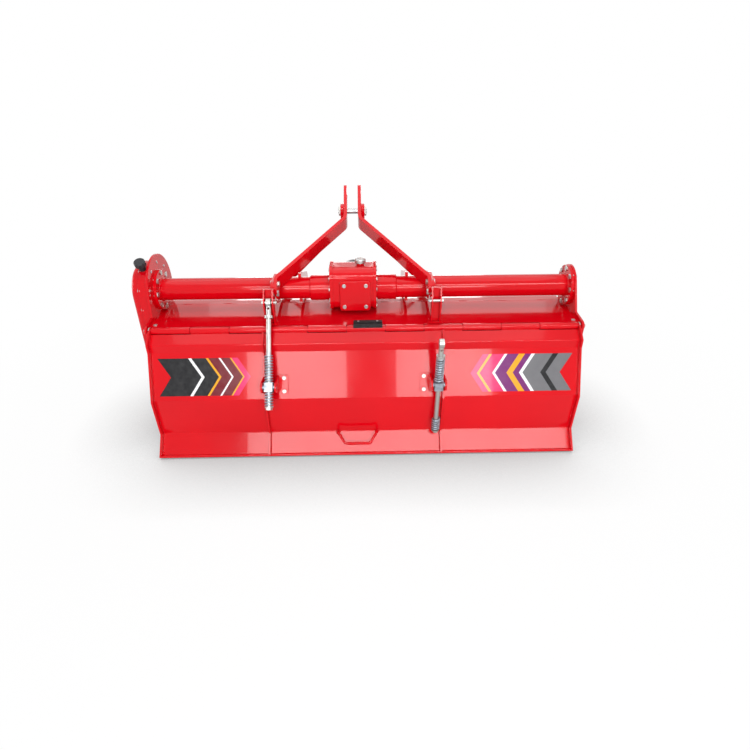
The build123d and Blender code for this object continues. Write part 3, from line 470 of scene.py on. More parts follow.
def pick(kind, test):
    """Select the faces or points of the mesh in edit mode that pass a test."""
    bpy.ops.mesh.select_mode(type=kind)
    bpy.ops.mesh.select_all(action="DESELECT")
    mesh = bpy.context.edit_object.data
    shape = bmesh.from_edit_mesh(mesh)
    for part in shape.faces if kind == "FACE" else shape.verts:
        part.select_set(test(part))
    shape.select_flush_mode()
    bmesh.update_edit_mesh(mesh)


def pick_points(test):
    """Select points by a test on their place."""
    pick("VERT", lambda point: test(point.co))


def pick_top(way=1):
    """Select the faces that look up, or down with way -1."""
    pick("FACE", lambda face: way * face.normal.z > 0.9)


def pick_cap(corners):
    """Select the faces that look up and have so many corners."""
    pick("FACE", lambda face: face.normal.z > 0.9 and len(face.verts) == corners)


def facing(place, normal, turn=0):
    """Matrix that stands a pattern on a place with its Z along a normal."""
    stand = Vector(normal).to_track_quat("Z", "Y").to_matrix().to_4x4()
    return Matrix.Translation(place) @ stand @ Matrix.Rotation(turn, 4, "Z")


def settle(name, piece, body, finish):
    """Apply a piece's place, name it, give it its finish and let it ride on a body."""
    deselect()
    piece.select_set(True)
    bpy.context.view_layer.objects.active = piece
    bpy.ops.object.transform_apply()
    bpy.ops.object.shade_smooth_by_angle(angle=radians(35))
    piece.name = name
    piece.data.name = name
    piece.data.materials.clear()
    piece.data.materials.append(bpy.data.materials[finish])
    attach(piece, body)


def spread(name, pattern, places, body, finish="zinc_plate"):
    """Copy a pattern to each place and join the copies into one piece."""
    copies = []
    for place in places:
        copy = pattern.copy()
        copy.data = pattern.data.copy()
        copy.matrix_world = place
        bpy.context.collection.objects.link(copy)
        copies.append(copy)
    bpy.data.objects.remove(pattern)
    bpy.context.view_layer.update()
    deselect()
    for copy in copies:
        copy.select_set(True)
    bpy.context.view_layer.objects.active = copies[0]
    bpy.ops.object.join()
    settle(name, bpy.context.object, body, finish)


def hex_head(thread):
    """Bolt head with a chamfered top on a washer, standing on the origin."""
    flats = 1.55 * thread
    height = 0.64 * thread
    washer = 0.2 * thread
    deselect()
    middle_height = washer + height / 2
    bpy.ops.mesh.primitive_cylinder_add(
        vertices=6, radius=flats / sqrt(3), depth=height, location=(0, 0, middle_height))
    edit()
    pick_top()
    bpy.ops.mesh.inset(thickness=0.08 * flats, depth=0.05 * flats)
    bpy.ops.mesh.inset(thickness=0.16 * flats, depth=-0.02 * flats)
    bpy.ops.mesh.primitive_cylinder_add(
        vertices=20, radius=1.02 * thread, depth=washer, location=(0, 0, washer / 2 - middle_height))
    pick_cap(20)
    bpy.ops.mesh.inset(thickness=0.08 * thread, depth=0.05 * thread)
    return leave()


def nut(thread):
    """Nut on a washer with the bolt's chamfered end through it, standing on the origin."""
    base = hex_head(thread)
    edit()
    end = 0.45 * thread
    top = max(point.co.z for point in base.data.vertices)
    bpy.ops.mesh.primitive_cylinder_add(vertices=14, radius=thread / 2, depth=end, location=(0, 0, top))
    pick_cap(14)
    bpy.ops.mesh.inset(thickness=0.1 * thread, depth=0.1 * thread)
    return leave()


def ring_of(count, radius, centre, side):
    """Places round a centre, starting on one side of it, in the plane of that side and Z."""
    for i in range(count):
        angle = i * 2 * pi / count
        yield centre + (side * cos(angle) + UP * sin(angle)) * radius


def heads(places, normal):
    """Standing matrices for bolt heads, each turned a little further than the last."""
    return [facing(place, normal, 0.7 * i) for i, place in enumerate(places)]


def loop_points(corners, count):
    """Evenly spaced places along a closed run of corners."""
    sides = list(zip(corners, corners[1:] + corners[:1]))
    total = sum((b - a).length for a, b in sides)
    for i in range(count):
        left = i * total / count
        for a, b in sides:
            if left <= (b - a).length:
                yield a + (b - a).normalized() * left
                break
            left -= (b - a).length


def arc(centre, radius, start, end, steps):
    """Places on an arc about X."""
    for i in range(steps + 1):
        angle = start + (end - start) * i / steps
        yield centre + Vector((0, cos(angle), sin(angle))) * radius


def weld_drop(leg):
    """One ripple of a weld bead: a flattened ball with few faces."""
    deselect()
    bpy.ops.mesh.primitive_uv_sphere_add(segments=8, ring_count=5, radius=leg)
    edit()
    bpy.ops.transform.resize(value=(0.62, 1, 0.92))
    return leave()


def bead(name, runs, body, leg):
    """Weld beads along straight runs, each given as (start, end)."""
    places = []
    for start, end in runs:
        count = max(2, ceil((end - start).length / (0.95 * leg)))
        lie = (end - start).to_track_quat("X", "Z").to_matrix().to_4x4()
        for i in range(count):
            places.append(Matrix.Translation(start.lerp(end, (i + 0.5) / count)) @ lie)
    spread(name, weld_drop(leg), places, body, "red_enamel")


def ring_weld(radius, leg, segments=64):
    """Rippled ring round the Z axis."""
    deselect()
    bpy.ops.mesh.primitive_torus_add(
        major_radius=radius, minor_radius=leg, major_segments=segments, minor_segments=7)
    edit()
    step = 2 * pi / segments
    pick_points(lambda place: round(Vector((1, 0)).angle_signed(place.xy, 0) / step) % 2 == 0)
    bpy.ops.transform.shrink_fatten(value=0.12 * leg)
    return leave()


def bent_wire(points, radius):
    """Round wire through control points, as a mesh."""
    deselect()
    bpy.ops.curve.primitive_nurbs_path_add()
    path = bpy.context.object
    path.data.splines.clear()
    spline = path.data.splines.new("NURBS")
    spline.points.add(len(points) - 1)
    for point, place in zip(spline.points, points):
        point.co = (*place, 1)
    spline.order_u = 3
    spline.use_endpoint_u = True
    path.data.resolution_u = 6
    path.data.bevel_depth = radius
    path.data.bevel_resolution = 2
    path.data.use_fill_caps = True
    bpy.ops.object.convert(target="MESH")
    return bpy.context.object


def r_clip(wire, pin):
    """Spring clip on a pin along Z at the origin: one leg through it along X, one bowed round its side."""
    run = [
        (-1.7, 0), (0, 0), (3.2, 0), (4.1, 0.1), (4.6, 0.8), (4.0, 1.4), (3.2, 0.9), (1.7, 0.45),
        (1.0, 1.15), (0, 1.45), (-1.0, 1.15), (-1.4, 0.7), (-1.9, 1.1),
    ]
    return bent_wire([(x * pin, y * pin, 0) for x, y in run], wire)


def lynch_pin(pin):
    """Lynch pin through a pin along Z at the origin: a headed peg along Y with its ring swung down."""
    deselect()
    peg = 0.3 * pin
    length = 3.4 * pin
    bpy.ops.mesh.primitive_cylinder_add(vertices=14, radius=peg, depth=length)
    edit()
    pick_top(-1)
    bpy.ops.mesh.inset(thickness=0.4 * peg, depth=0.6 * peg)
    pick_top()
    bpy.ops.mesh.inset(thickness=-0.45 * peg)
    bpy.ops.mesh.extrude_region_move(TRANSFORM_OT_translate={"value": (0, 0, 0.55 * pin)})
    bpy.ops.mesh.inset(thickness=0.35 * peg, depth=0.2 * pin)
    bpy.ops.mesh.primitive_torus_add(
        major_radius=length / 2, minor_radius=0.14 * pin, major_segments=32, minor_segments=8,
        rotation=(pi / 2, 0, 0))
    bpy.ops.mesh.select_all(action="SELECT")
    bpy.ops.transform.rotate(value=-pi / 2, orient_axis="X", center_override=(0, 0, 0))
    return leave()


def grease_nipple():
    """Hexagon base and ball-ended neck, standing on the origin."""
    deselect()
    bpy.ops.mesh.primitive_cylinder_add(vertices=6, radius=0.0055, depth=0.005, location=(0, 0, 0.0025))
    edit()
    pick_top()
    bpy.ops.mesh.inset(thickness=0.0020)
    bpy.ops.mesh.extrude_region_move(TRANSFORM_OT_translate={"value": (0, 0, 0.005)})
    bpy.ops.mesh.inset(thickness=-0.0010, depth=0.0012)
    bpy.ops.mesh.extrude_region_move(TRANSFORM_OT_translate={"value": (0, 0, 0.0022)})
    bpy.ops.mesh.inset(thickness=0.0012, depth=0.0010)
    return leave()


class ROTAVATOR_OT_finishes(bpy.types.Operator):
    """Make the finishes and put them on the solids"""

    bl_idname = "rotavator.finishes"
    bl_label = "Finish the solids"

    def execute(self, context):
        colours = context.scene.rotavator_colours
        made = {
            "red_paint": red_enamel(colours),
            "zinc_steel": zinc_plate(colours),
            "spring_steel": spring_wire(colours),
            "blade_steel": forged_blade(colours),
            "black_rubber": hinge_rubber(colours),
            "black_plastic": moulded_plastic(colours),
        }
        for subpart in frame["record"]["subparts"]:
            solid = frame["nodes"][subpart["node"]]
            solid.data.materials.clear()
            solid.data.materials.append(made[subpart["material_slot"]])
        return {"FINISHED"}


class ROTAVATOR_OT_beam_bolts(bpy.types.Operator):
    """Bolt the beam flanges to the side plates"""

    bl_idname = "rotavator.beam_bolts"
    bl_label = "Beam flange bolts"

    def execute(self, context):
        thread = context.scene.rotavator_fasteners.flange_bolt
        lift = PLATE_THICK + FLANGE_THICK
        for side, face, way in (("left", LEFT_FACE, 1), ("right", RIGHT_FACE, -1)):
            centre = Vector((face + way * lift, BEAM.y, BEAM.z))
            ring = ring_of(FLANGE_BOLTS, FLANGE_BOLT_CIRCLE, centre, AHEAD)
            spread("flange_bolts_" + side, hex_head(thread), heads(ring, (way, 0, 0)), "frame")
        ring = ring_of(FLANGE_BOLTS, FLANGE_BOLT_CIRCLE, Vector((RIGHT_FACE, BEAM.y, BEAM.z)), AHEAD)
        spread("flange_nuts_right", nut(thread), heads(ring, (1, 0, 0)), "frame")
        return {"FINISHED"}


class ROTAVATOR_OT_gearbox_bolts(bpy.types.Operator):
    """Bolt the gearbox's rear cover and its side rims"""

    bl_idname = "rotavator.gearbox_bolts"
    bl_label = "Gearbox bolts"

    def execute(self, context):
        sizes = context.scene.rotavator_fasteners
        cover = middle("gearbox_rear_cover")
        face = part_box("gearbox_rear_cover")[0].y
        half = COVER_BOLT_SQUARE / 2
        corners = [Vector((cover.x + x * half, face, cover.z + z * half)) for x in (-1, 1) for z in (-1, 1)]
        spread("gearbox_cover_bolts", hex_head(sizes.cover_bolt), heads(corners, (0, -1, 0)), "frame")
        low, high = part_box("gearbox_housing")
        inset = 1.4 * sizes.rim_bolt
        bend = GEARBOX_CORNER - inset
        top = BEAM.z + GEARBOX_RIM_TOP - GEARBOX_CORNER
        foot = low.z + GEARBOX_CORNER
        back, front = low.y + GEARBOX_CORNER, high.y - GEARBOX_CORNER
        for side, x, way in (("left", low.x, -1), ("right", high.x, 1)):
            run = list(arc(Vector((x, front, top)), bend, 0, pi / 2, 6))
            run += arc(Vector((x, back, top)), bend, pi / 2, pi, 6)
            run += arc(Vector((x, back, foot)), bend, pi, 1.5 * pi, 6)
            run += arc(Vector((x, front, foot)), bend, 1.5 * pi, 2 * pi, 6)
            spots = heads(loop_points(run, RIM_BOLTS), (way, 0, 0))
            spread("gearbox_rim_bolts_" + side, hex_head(sizes.rim_bolt), spots, "frame")
        return {"FINISHED"}


class ROTAVATOR_OT_case_bolts(bpy.types.Operator):
    """Bolt the gear case cover, the bearing housing and the shaft guard"""

    bl_idname = "rotavator.case_bolts"
    bl_label = "Case, bearing and guard bolts"

    def execute(self, context):
        sizes = context.scene.rotavator_fasteners
        rim = list(self.case_rim(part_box("gear_case")[0].x))
        spread("case_cover_bolts", hex_head(sizes.case_bolt), heads(rim, (-1, 0, 0)), "frame")
        inner = self.case_rim(LEFT_FACE + PLATE_THICK)
        above_hood = [spot for spot in inner if spot.z > BEAM.z - BEAM_RADIUS]
        spread("case_nuts", nut(sizes.case_bolt), heads(above_hood, (1, 0, 0)), "frame")
        face = Vector((RIGHT_FACE + BEARING_FLANGE_THICK, ROTOR.y, ROTOR.z))
        ring = ring_of(BEARING_BOLTS, BEARING_BOLT_CIRCLE, face, AHEAD)
        spread("bearing_bolts", hex_head(sizes.flange_bolt), heads(ring, (1, 0, 0)), "frame")
        wall = Vector((CENTRE_X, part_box("input_guard")[0].y + GUARD_WALL, BEAM.z))
        ring = ring_of(GUARD_BOLTS, GUARD_BOLT_CIRCLE, wall, SIDE)
        spread("guard_bolts", hex_head(sizes.guard_bolt), heads(ring, (0, 1, 0)), "frame")
        plug_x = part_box("gear_case_cover")[0].x
        plugs = [Vector((plug_x, ROTOR.y + forward, ROTOR.z + up)) for forward, up in CASE_PLUGS]
        spread("case_plugs", hex_head(sizes.mast_bolt), heads(plugs, (-1, 0, 0)), "frame")
        return {"FINISHED"}

    def case_rim(self, x):
        """Bolt places along the rim of the gear case, at a station along X."""
        upper = Vector((x, BEAM.y, BEAM.z))
        lower = Vector((x, ROTOR.y, ROTOR.z))
        lean = atan2(upper.z - lower.z, upper.y - lower.y)
        spare = acos((CASE_UPPER_RADIUS - CASE_LOWER_RADIUS) / (upper - lower).length)
        inset = CASE_RIM / 2
        run = list(arc(upper, CASE_UPPER_RADIUS - inset, lean - spare, lean + spare, 24))
        run += arc(lower, CASE_LOWER_RADIUS - inset, lean + spare, lean + 2 * pi - spare, 24)
        return loop_points(run, CASE_BOLTS)


class ROTAVATOR_OT_mast_bolts(bpy.types.Operator):
    """Bolt the mast bars and the front stays to the hitch plates"""

    bl_idname = "rotavator.mast_bolts"
    bl_label = "Mast and stay bolts"

    def execute(self, context):
        thread = context.scene.rotavator_fasteners.mast_bolt
        along = Vector((0, cos(MAST_ANGLE), sin(MAST_ANGLE)))
        beam = Vector((CENTRE_X, BEAM.y, BEAM.z))
        spots = [beam + MAST_FOOT + along * station for station in MAST_BOLT_STATIONS]
        spots.append(beam + STAY_FOOT)
        reach_in = MAST_FACE - MAST_THICK - CENTRE_X
        reach_out = HITCH_OUTER.x - CENTRE_X
        for side, way in (("left", -1), ("right", 1)):
            inner = [spot + Vector((way * reach_in, 0, 0)) for spot in spots]
            outer = [spot + Vector((way * reach_out, 0, 0)) for spot in spots]
            spread("mast_bolts_" + side, hex_head(thread), heads(inner, (-way, 0, 0)), "frame")
            spread("mast_nuts_" + side, nut(thread), heads(outer, (way, 0, 0)), "frame")
        return {"FINISHED"}


class ROTAVATOR_OT_tailboard_bolts(bpy.types.Operator):
    """Bolt the trunnion ears to the tailboard, and the rubber pad to the hood"""

    bl_idname = "rotavator.tailboard_bolts"
    bl_label = "Ear and pad bolts"

    def execute(self, context):
        sizes = context.scene.rotavator_fasteners
        level = (HINGE.z + TAIL_STEP[1] - TRUNNION.z + EAR_FOOT_DROP) / -MAIN_DOWN.z
        spots = []
        for node, edge, way in (("inner_ear_left", 1, -1), ("inner_ear_right", 0, 1)):
            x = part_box(node)[edge].x + way * EAR_BOLT_INSET
            for step in (-EAR_BOLT_PITCH / 2, EAR_BOLT_PITCH / 2):
                spots.append(on_main_face(x, level + step) + MAIN_NORMAL * RIB_THICK)
        spread("ear_bolts", hex_head(sizes.ear_bolt), heads(spots, MAIN_NORMAL), "tailboard")
        low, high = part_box("hinge_pad")
        ends = (low.x + PAD_BOLT_INSET, high.x - PAD_BOLT_INSET)
        spots = [Vector((x, (low.y + high.y) / 2, high.z)) for x in ends]
        spread("pad_bolts", hex_head(sizes.pad_bolt), heads(spots, UP), "frame")
        low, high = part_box("hood")
        ends = (low.x + HOOD_BOLT.x, high.x - HOOD_BOLT.x)
        corners = [Vector((x, HINGE.y + HOOD_BOLT.y, HINGE.z + HOOD_BOLT.z)) for x in ends]
        spread("hood_corner_bolts", hex_head(sizes.ear_bolt), heads(corners, UP), "frame")
        return {"FINISHED"}


class ROTAVATOR_OT_hood_trim(bpy.types.Operator):
    """Weld a rail along the front of the hood's top, lap the pad over the hinge and hang a dark rubber strip
    inside it as painted shade
    """

    bl_idname = "rotavator.hood_trim"
    # The hinge seal in this label is the dark strip of painted shade inside the hinge
    bl_label = "Hood rail, hinge flap and hinge seal"

    def execute(self, context):
        self.rail(context.scene.rotavator_fasteners.weld_leg)
        self.flap()
        self.shade_strip()
        return {"FINISHED"}

    def rail(self, leg):
        """Wedge that carries the hood's flat top forward, with a rounded nose, tacked along its rear edge."""
        low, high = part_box("hood")
        bend = BEAM.y + HOOD_BEND
        drop = RAIL_REACH * (high.z - ROTOR.z - HOOD_NOSE.z) / (ROTOR.y + HOOD_NOSE.y - bend)
        deselect()
        bpy.ops.mesh.primitive_cube_add(size=1)
        edit()
        bpy.ops.transform.resize(value=(high.x - low.x, RAIL_REACH, drop))
        pick_points(lambda place: place.y < 0 and place.z < 0)
        bpy.ops.transform.translate(value=(0, 0, drop - RAIL_LAP))
        pick_points(lambda place: place.y > 0)
        bpy.ops.mesh.bevel(offset=RAIL_ROUND, segments=4, affect="EDGES")
        wedge = leave()
        wedge.location = ((low.x + high.x) / 2, bend + RAIL_REACH / 2, high.z - drop / 2)
        settle("hood_rail", wedge, "frame", "red_enamel")
        tacks = []
        for i in range(RAIL_TACKS):
            x = low.x + (high.x - low.x) * (i + 0.5) / RAIL_TACKS
            half = RAIL_TACK_LENGTH / 2
            tacks.append((Vector((x - half, bend, high.z)), Vector((x + half, bend, high.z))))
        bead("hood_rail_welds", tacks, "frame", 0.5 * leg)

    def flap(self):
        """Rubber wrapped over the hinge knuckles beside the pad, clear of the tailboard's swing."""
        low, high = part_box("hinge_pad")
        deselect()
        bpy.ops.mesh.primitive_plane_add(size=1)
        edit()
        bpy.ops.transform.resize(value=(high.x - low.x, FLAP_THICK, 1))
        bpy.ops.transform.translate(value=(0, FLAP_RADIUS + FLAP_THICK / 2, 0))
        bpy.ops.mesh.spin(steps=16, angle=FLAP_ANGLE, center=(0, 0, 0), axis=(1, 0, 0))
        bpy.ops.mesh.select_all(action="SELECT")
        bpy.ops.mesh.remove_doubles()
        bpy.ops.mesh.normals_make_consistent()
        rubber = leave()
        turn = Matrix.Rotation(FLAP_START, 4, "X")
        rubber.matrix_world = Matrix.Translation(((low.x + high.x) / 2, HINGE.y, HINGE.z)) @ turn
        settle("hinge_flap", rubber, "frame", "hinge_rubber")

    def shade_strip(self):
        """Dark rubber strip that hangs inside the hinge, its foot curled forward: painted shade, so the gap
        at the hinge shows dark.
        """
        low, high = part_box("hood")
        deselect()
        bpy.ops.mesh.primitive_cube_add(size=1)
        edit()
        bpy.ops.transform.resize(value=(high.x - low.x, SHADE_STRIP_THICK, SHADE_STRIP_DEPTH))
        pick_top(-1)
        for push in SHADE_STRIP_CURL:
            step = (0, push * SHADE_STRIP_THICK, -SHADE_STRIP_THICK)
            bpy.ops.mesh.extrude_region_move(TRANSFORM_OT_translate={"value": step})
        strip = leave()
        strip.location = ((low.x + high.x) / 2, HINGE.y + SHADE_STRIP_AHEAD, HINGE.z + SHADE_STRIP_TOP - SHADE_STRIP_DEPTH / 2)
        settle("hinge_shade_strip", strip, "frame", "hinge_rubber")


class ROTAVATOR_OT_skid_bolts(bpy.types.Operator):
    """Bolt the skids' straps and put nuts on the hinge rod's ends"""

    bl_idname = "rotavator.skid_bolts"
    bl_label = "Skid bolts and hinge rod nuts"

    def execute(self, context):
        thread = context.scene.rotavator_fasteners.flange_bolt
        for side, face, way in (("left", LEFT_FACE, -1), ("right", RIGHT_FACE, 1)):
            x = face + way * SKID_THICK
            spots = []
            for forward in (-SKID_STRAP_MIDDLE, SKID_STRAP_MIDDLE):
                for height in SKID_BOLT_HEIGHTS:
                    spots.append(Vector((x, ROTOR.y + forward, height)))
            spread("skid_bolts_" + side, hex_head(thread), heads(spots, (way, 0, 0)), "frame")
            rod_end = Vector((face, HINGE.y, HINGE.z))
            spread("hinge_nut_" + side, nut(1.25 * thread), heads([rod_end], (way, 0, 0)), "frame")
        return {"FINISHED"}


class ROTAVATOR_OT_blade_bolts(bpy.types.Operator):
    """Bolt every blade to its disc with two bolts"""

    bl_idname = "rotavator.blade_bolts"
    bl_label = "Blade bolts"

    def execute(self, context):
        thread = context.scene.rotavator_fasteners.blade_bolt
        head_places = []
        nut_places = []
        for gang, x in enumerate(gang_stations()):
            for blade in range(BLADES_PER_GANG):
                angle = gang * GANG_STAGGER + blade * 2 * pi / BLADES_PER_GANG
                way = 1 if blade % 2 == 0 else -1
                out = Vector((way, 0, 0))
                for reach in BLADE_BOLT_REACHES:
                    spot = Vector((x, ROTOR.y - sin(angle) * reach, ROTOR.z + cos(angle) * reach))
                    head_places.append(facing(spot + out * (GANG_DISC_THICK / 2 + BLADE_THICK), out, angle))
                    nut_places.append(facing(spot - out * GANG_DISC_THICK / 2, -out, angle))
        spread("blade_bolts", hex_head(thread), head_places, "rotor")
        spread("blade_nuts", nut(thread), nut_places, "rotor")
        return {"FINISHED"}


class ROTAVATOR_OT_clips(bpy.types.Operator):
    """Secure the rod pins, the top-link pin and the lower-link pins"""

    bl_idname = "rotavator.clips"
    bl_label = "Clips, lynch pins and top pin nuts"

    def execute(self, context):
        wire = context.scene.rotavator_fasteners.clip_wire
        for side, edge, way in (("left", 1, 1), ("right", 0, -1)):
            pin = middle("anchor_pin_" + side)
            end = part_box("anchor_pin_" + side)[edge].x
            place = Matrix.Translation((end - way * CLIP_INSET, pin.y, pin.z))
            down = Matrix.Rotation(CLIP_DROOP, 4, "X") @ Matrix.Rotation(pi / 2, 4, "Y")
            spread("rod_pin_clip_" + side, r_clip(wire, ANCHOR_PIN_RADIUS), [place @ down], "frame")
        pin = middle("top_link_pin")
        ends = []
        for edge, way in ((0, -1), (1, 1)):
            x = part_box("top_link_pin")[edge].x - way * TOP_PIN_PROUD
            ends.append(facing((x, pin.y, pin.z), (way, 0, 0)))
        spread("top_pin_nuts", nut(2 * TOP_PIN_RADIUS), ends, "frame")
        for side, edge, way in (("left", 0, -1), ("right", 1, 1)):
            pin = middle("lower_pin_" + side)
            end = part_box("lower_pin_" + side)[edge].x
            place = facing((end - way * LYNCH_INSET, pin.y, pin.z), (way, 0, 0))
            spread("lower_lynch_pin_" + side, lynch_pin(LOWER_PIN_RADIUS), [place], "frame")
        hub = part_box("bearing_housing")[1].x
        spots = [facing((hub, ROTOR.y, ROTOR.z + NIPPLE_RISE), (1, 0, 0))]
        spread("bearing_grease_nipple", grease_nipple(), spots, "frame")
        return {"FINISHED"}


class ROTAVATOR_OT_welds(bpy.types.Operator):
    """Lay the weld beads on the beam, the tailboard, the brackets and the rotor"""

    bl_idname = "rotavator.welds"
    bl_label = "Weld beads"

    def execute(self, context):
        leg = context.scene.rotavator_fasteners.weld_leg
        self.beam_welds(leg)
        self.tailboard_welds(leg)
        self.bracket_welds(leg)
        self.rotor_welds(leg)
        return {"FINISHED"}

    def beam_welds(self, leg):
        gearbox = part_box("gearbox_housing")
        stations = [
            gearbox[0].x - SLEEVE_LENGTH,
            gearbox[1].x + SLEEVE_LENGTH,
            LEFT_FACE + PLATE_THICK + FLANGE_THICK,
            RIGHT_FACE - PLATE_THICK - FLANGE_THICK,
        ]
        for side in (-1, 1):
            for x in (HITCH_OUTER.x - HITCH_THICK, HITCH_OUTER.x):
                stations.append(CENTRE_X + side * (x - CENTRE_X))
        places = [facing((x, BEAM.y, BEAM.z), (1, 0, 0)) for x in stations]
        spread("beam_welds", ring_weld(BEAM_RADIUS + 0.3 * leg, leg), places, "frame", "red_enamel")

    def tailboard_welds(self, leg):
        low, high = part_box("tailboard_ribs")
        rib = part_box("right_trunnion")[1].x - CENTRE_X
        lines = [low.x + RIB_THICK, high.x - RIB_THICK]
        for side in (-1, 1):
            lines += [CENTRE_X + side * (rib - RIB_THICK), CENTRE_X + side * rib]
        runs = []
        for x in lines:
            for p, q in zip(TAIL_RUN, TAIL_RUN[1:]):
                runs.append((from_hinge(x, p), from_hinge(x, q)))
        bead("tailboard_welds", runs, "tailboard", 0.6 * leg)
        waist, lip = from_hinge(0, TAIL_WAIST), from_hinge(0, TAIL_LIP)
        root = waist + (lip - waist).normalized() * HANDLE_ROOT
        feet = []
        for side in (-1, 1):
            x = CENTRE_X + HANDLE_MIDDLE + side * HANDLE_WIDTH / 2
            feet.append(facing(root + SIDE * x, out_of(TAIL_WAIST, TAIL_LIP)))
        ring = ring_weld(HANDLE_RADIUS + 0.3 * leg, 0.7 * leg, 20)
        spread("handle_welds", ring, feet, "tailboard", "red_enamel")

    def bracket_welds(self, leg):
        runs = []
        for side in ("left", "right"):
            low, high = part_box("rod_bracket_" + side)
            foot = low.z + BRACKET_WELD_RISE
            runs.append((Vector((low.x, high.y, foot)), Vector((high.x, high.y, foot))))
        bead("bracket_welds", runs, "frame", 0.7 * leg)

    def rotor_welds(self, leg):
        places = []
        for x in gang_stations():
            for face in (-1, 1):
                station = x + face * GANG_DISC_THICK / 2
                places.append(facing((station, ROTOR.y, ROTOR.z), (1, 0, 0)))
        spread("rotor_welds", ring_weld(SHAFT_RADIUS + 0.3 * leg, leg, 48), places, "rotor", "forged_blade")


class ROTAVATOR_OT_stripes(bpy.types.Operator):
    """Stick a striped film at each end of the tailboard"""

    bl_idname = "rotavator.stripes"
    bl_label = "Tailboard stripes"

    def execute(self, context):
        black = (0.010, 0.010, 0.012)
        white = (0.86, 0.86, 0.88)
        amber = (0.80, 0.36, 0.010)
        plum = (0.16, 0.008, 0.016)
        rose = (0.72, 0.010, 0.13)
        violet = (0.17, 0.012, 0.15)
        grey = (0.16, 0.16, 0.17)
        striped_film("left_film", [
            (0.0, black), (0.38, white), (0.42, black), (0.60, amber), (0.63, plum),
            (0.76, white), (0.785, plum), (0.90, amber), (0.92, rose)])
        striped_film("right_film", [
            (0.0, rose), (0.07, amber), (0.10, rose), (0.24, white), (0.27, violet), (0.40, amber),
            (0.47, violet), (0.54, white), (0.58, grey), (0.78, black), (0.84, grey)])
        low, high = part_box("tailboard_ribs")
        self.film("left_stripes", low.x + FILM_INSET, low.x + LEFT_FILM_END, FILM_POINT, "left_film")
        self.film("right_stripes", high.x - RIGHT_FILM_END, high.x - FILM_INSET, -FILM_POINT, "right_film")
        return {"FINISHED"}

    def film(self, name, x0, x1, point, finish):
        """Arrow-ended panel laid on the main face; point is how far its middle runs ahead."""
        deselect()
        bpy.ops.mesh.primitive_plane_add(size=1)
        edit()
        bpy.ops.mesh.subdivide(number_cuts=1)
        bpy.ops.transform.resize(value=(x1 - x0 - abs(point), FILM_FOOT - FILM_TOP, 1))
        pick_points(lambda place: abs(place.y) < 0.001)
        bpy.ops.transform.translate(value=(point, 0, 0))
        bpy.ops.mesh.select_all(action="SELECT")
        bpy.ops.transform.translate(value=(-point / 2, 0, 0))
        bpy.ops.mesh.extrude_region_move(TRANSFORM_OT_translate={"value": (0, 0, FILM_THICK)})
        bpy.ops.mesh.select_all(action="SELECT")
        bpy.ops.mesh.normals_make_consistent()
        panel = leave()
        place = on_main_face((x0 + x1) / 2, (FILM_TOP + FILM_FOOT) / 2) + MAIN_NORMAL * FILM_LIFT
        lie = Matrix(((1, 0, 0), -MAIN_DOWN, MAIN_NORMAL)).transposed().to_4x4()
        panel.matrix_world = Matrix.Translation(place) @ lie
        settle(name, panel, "tailboard", finish)


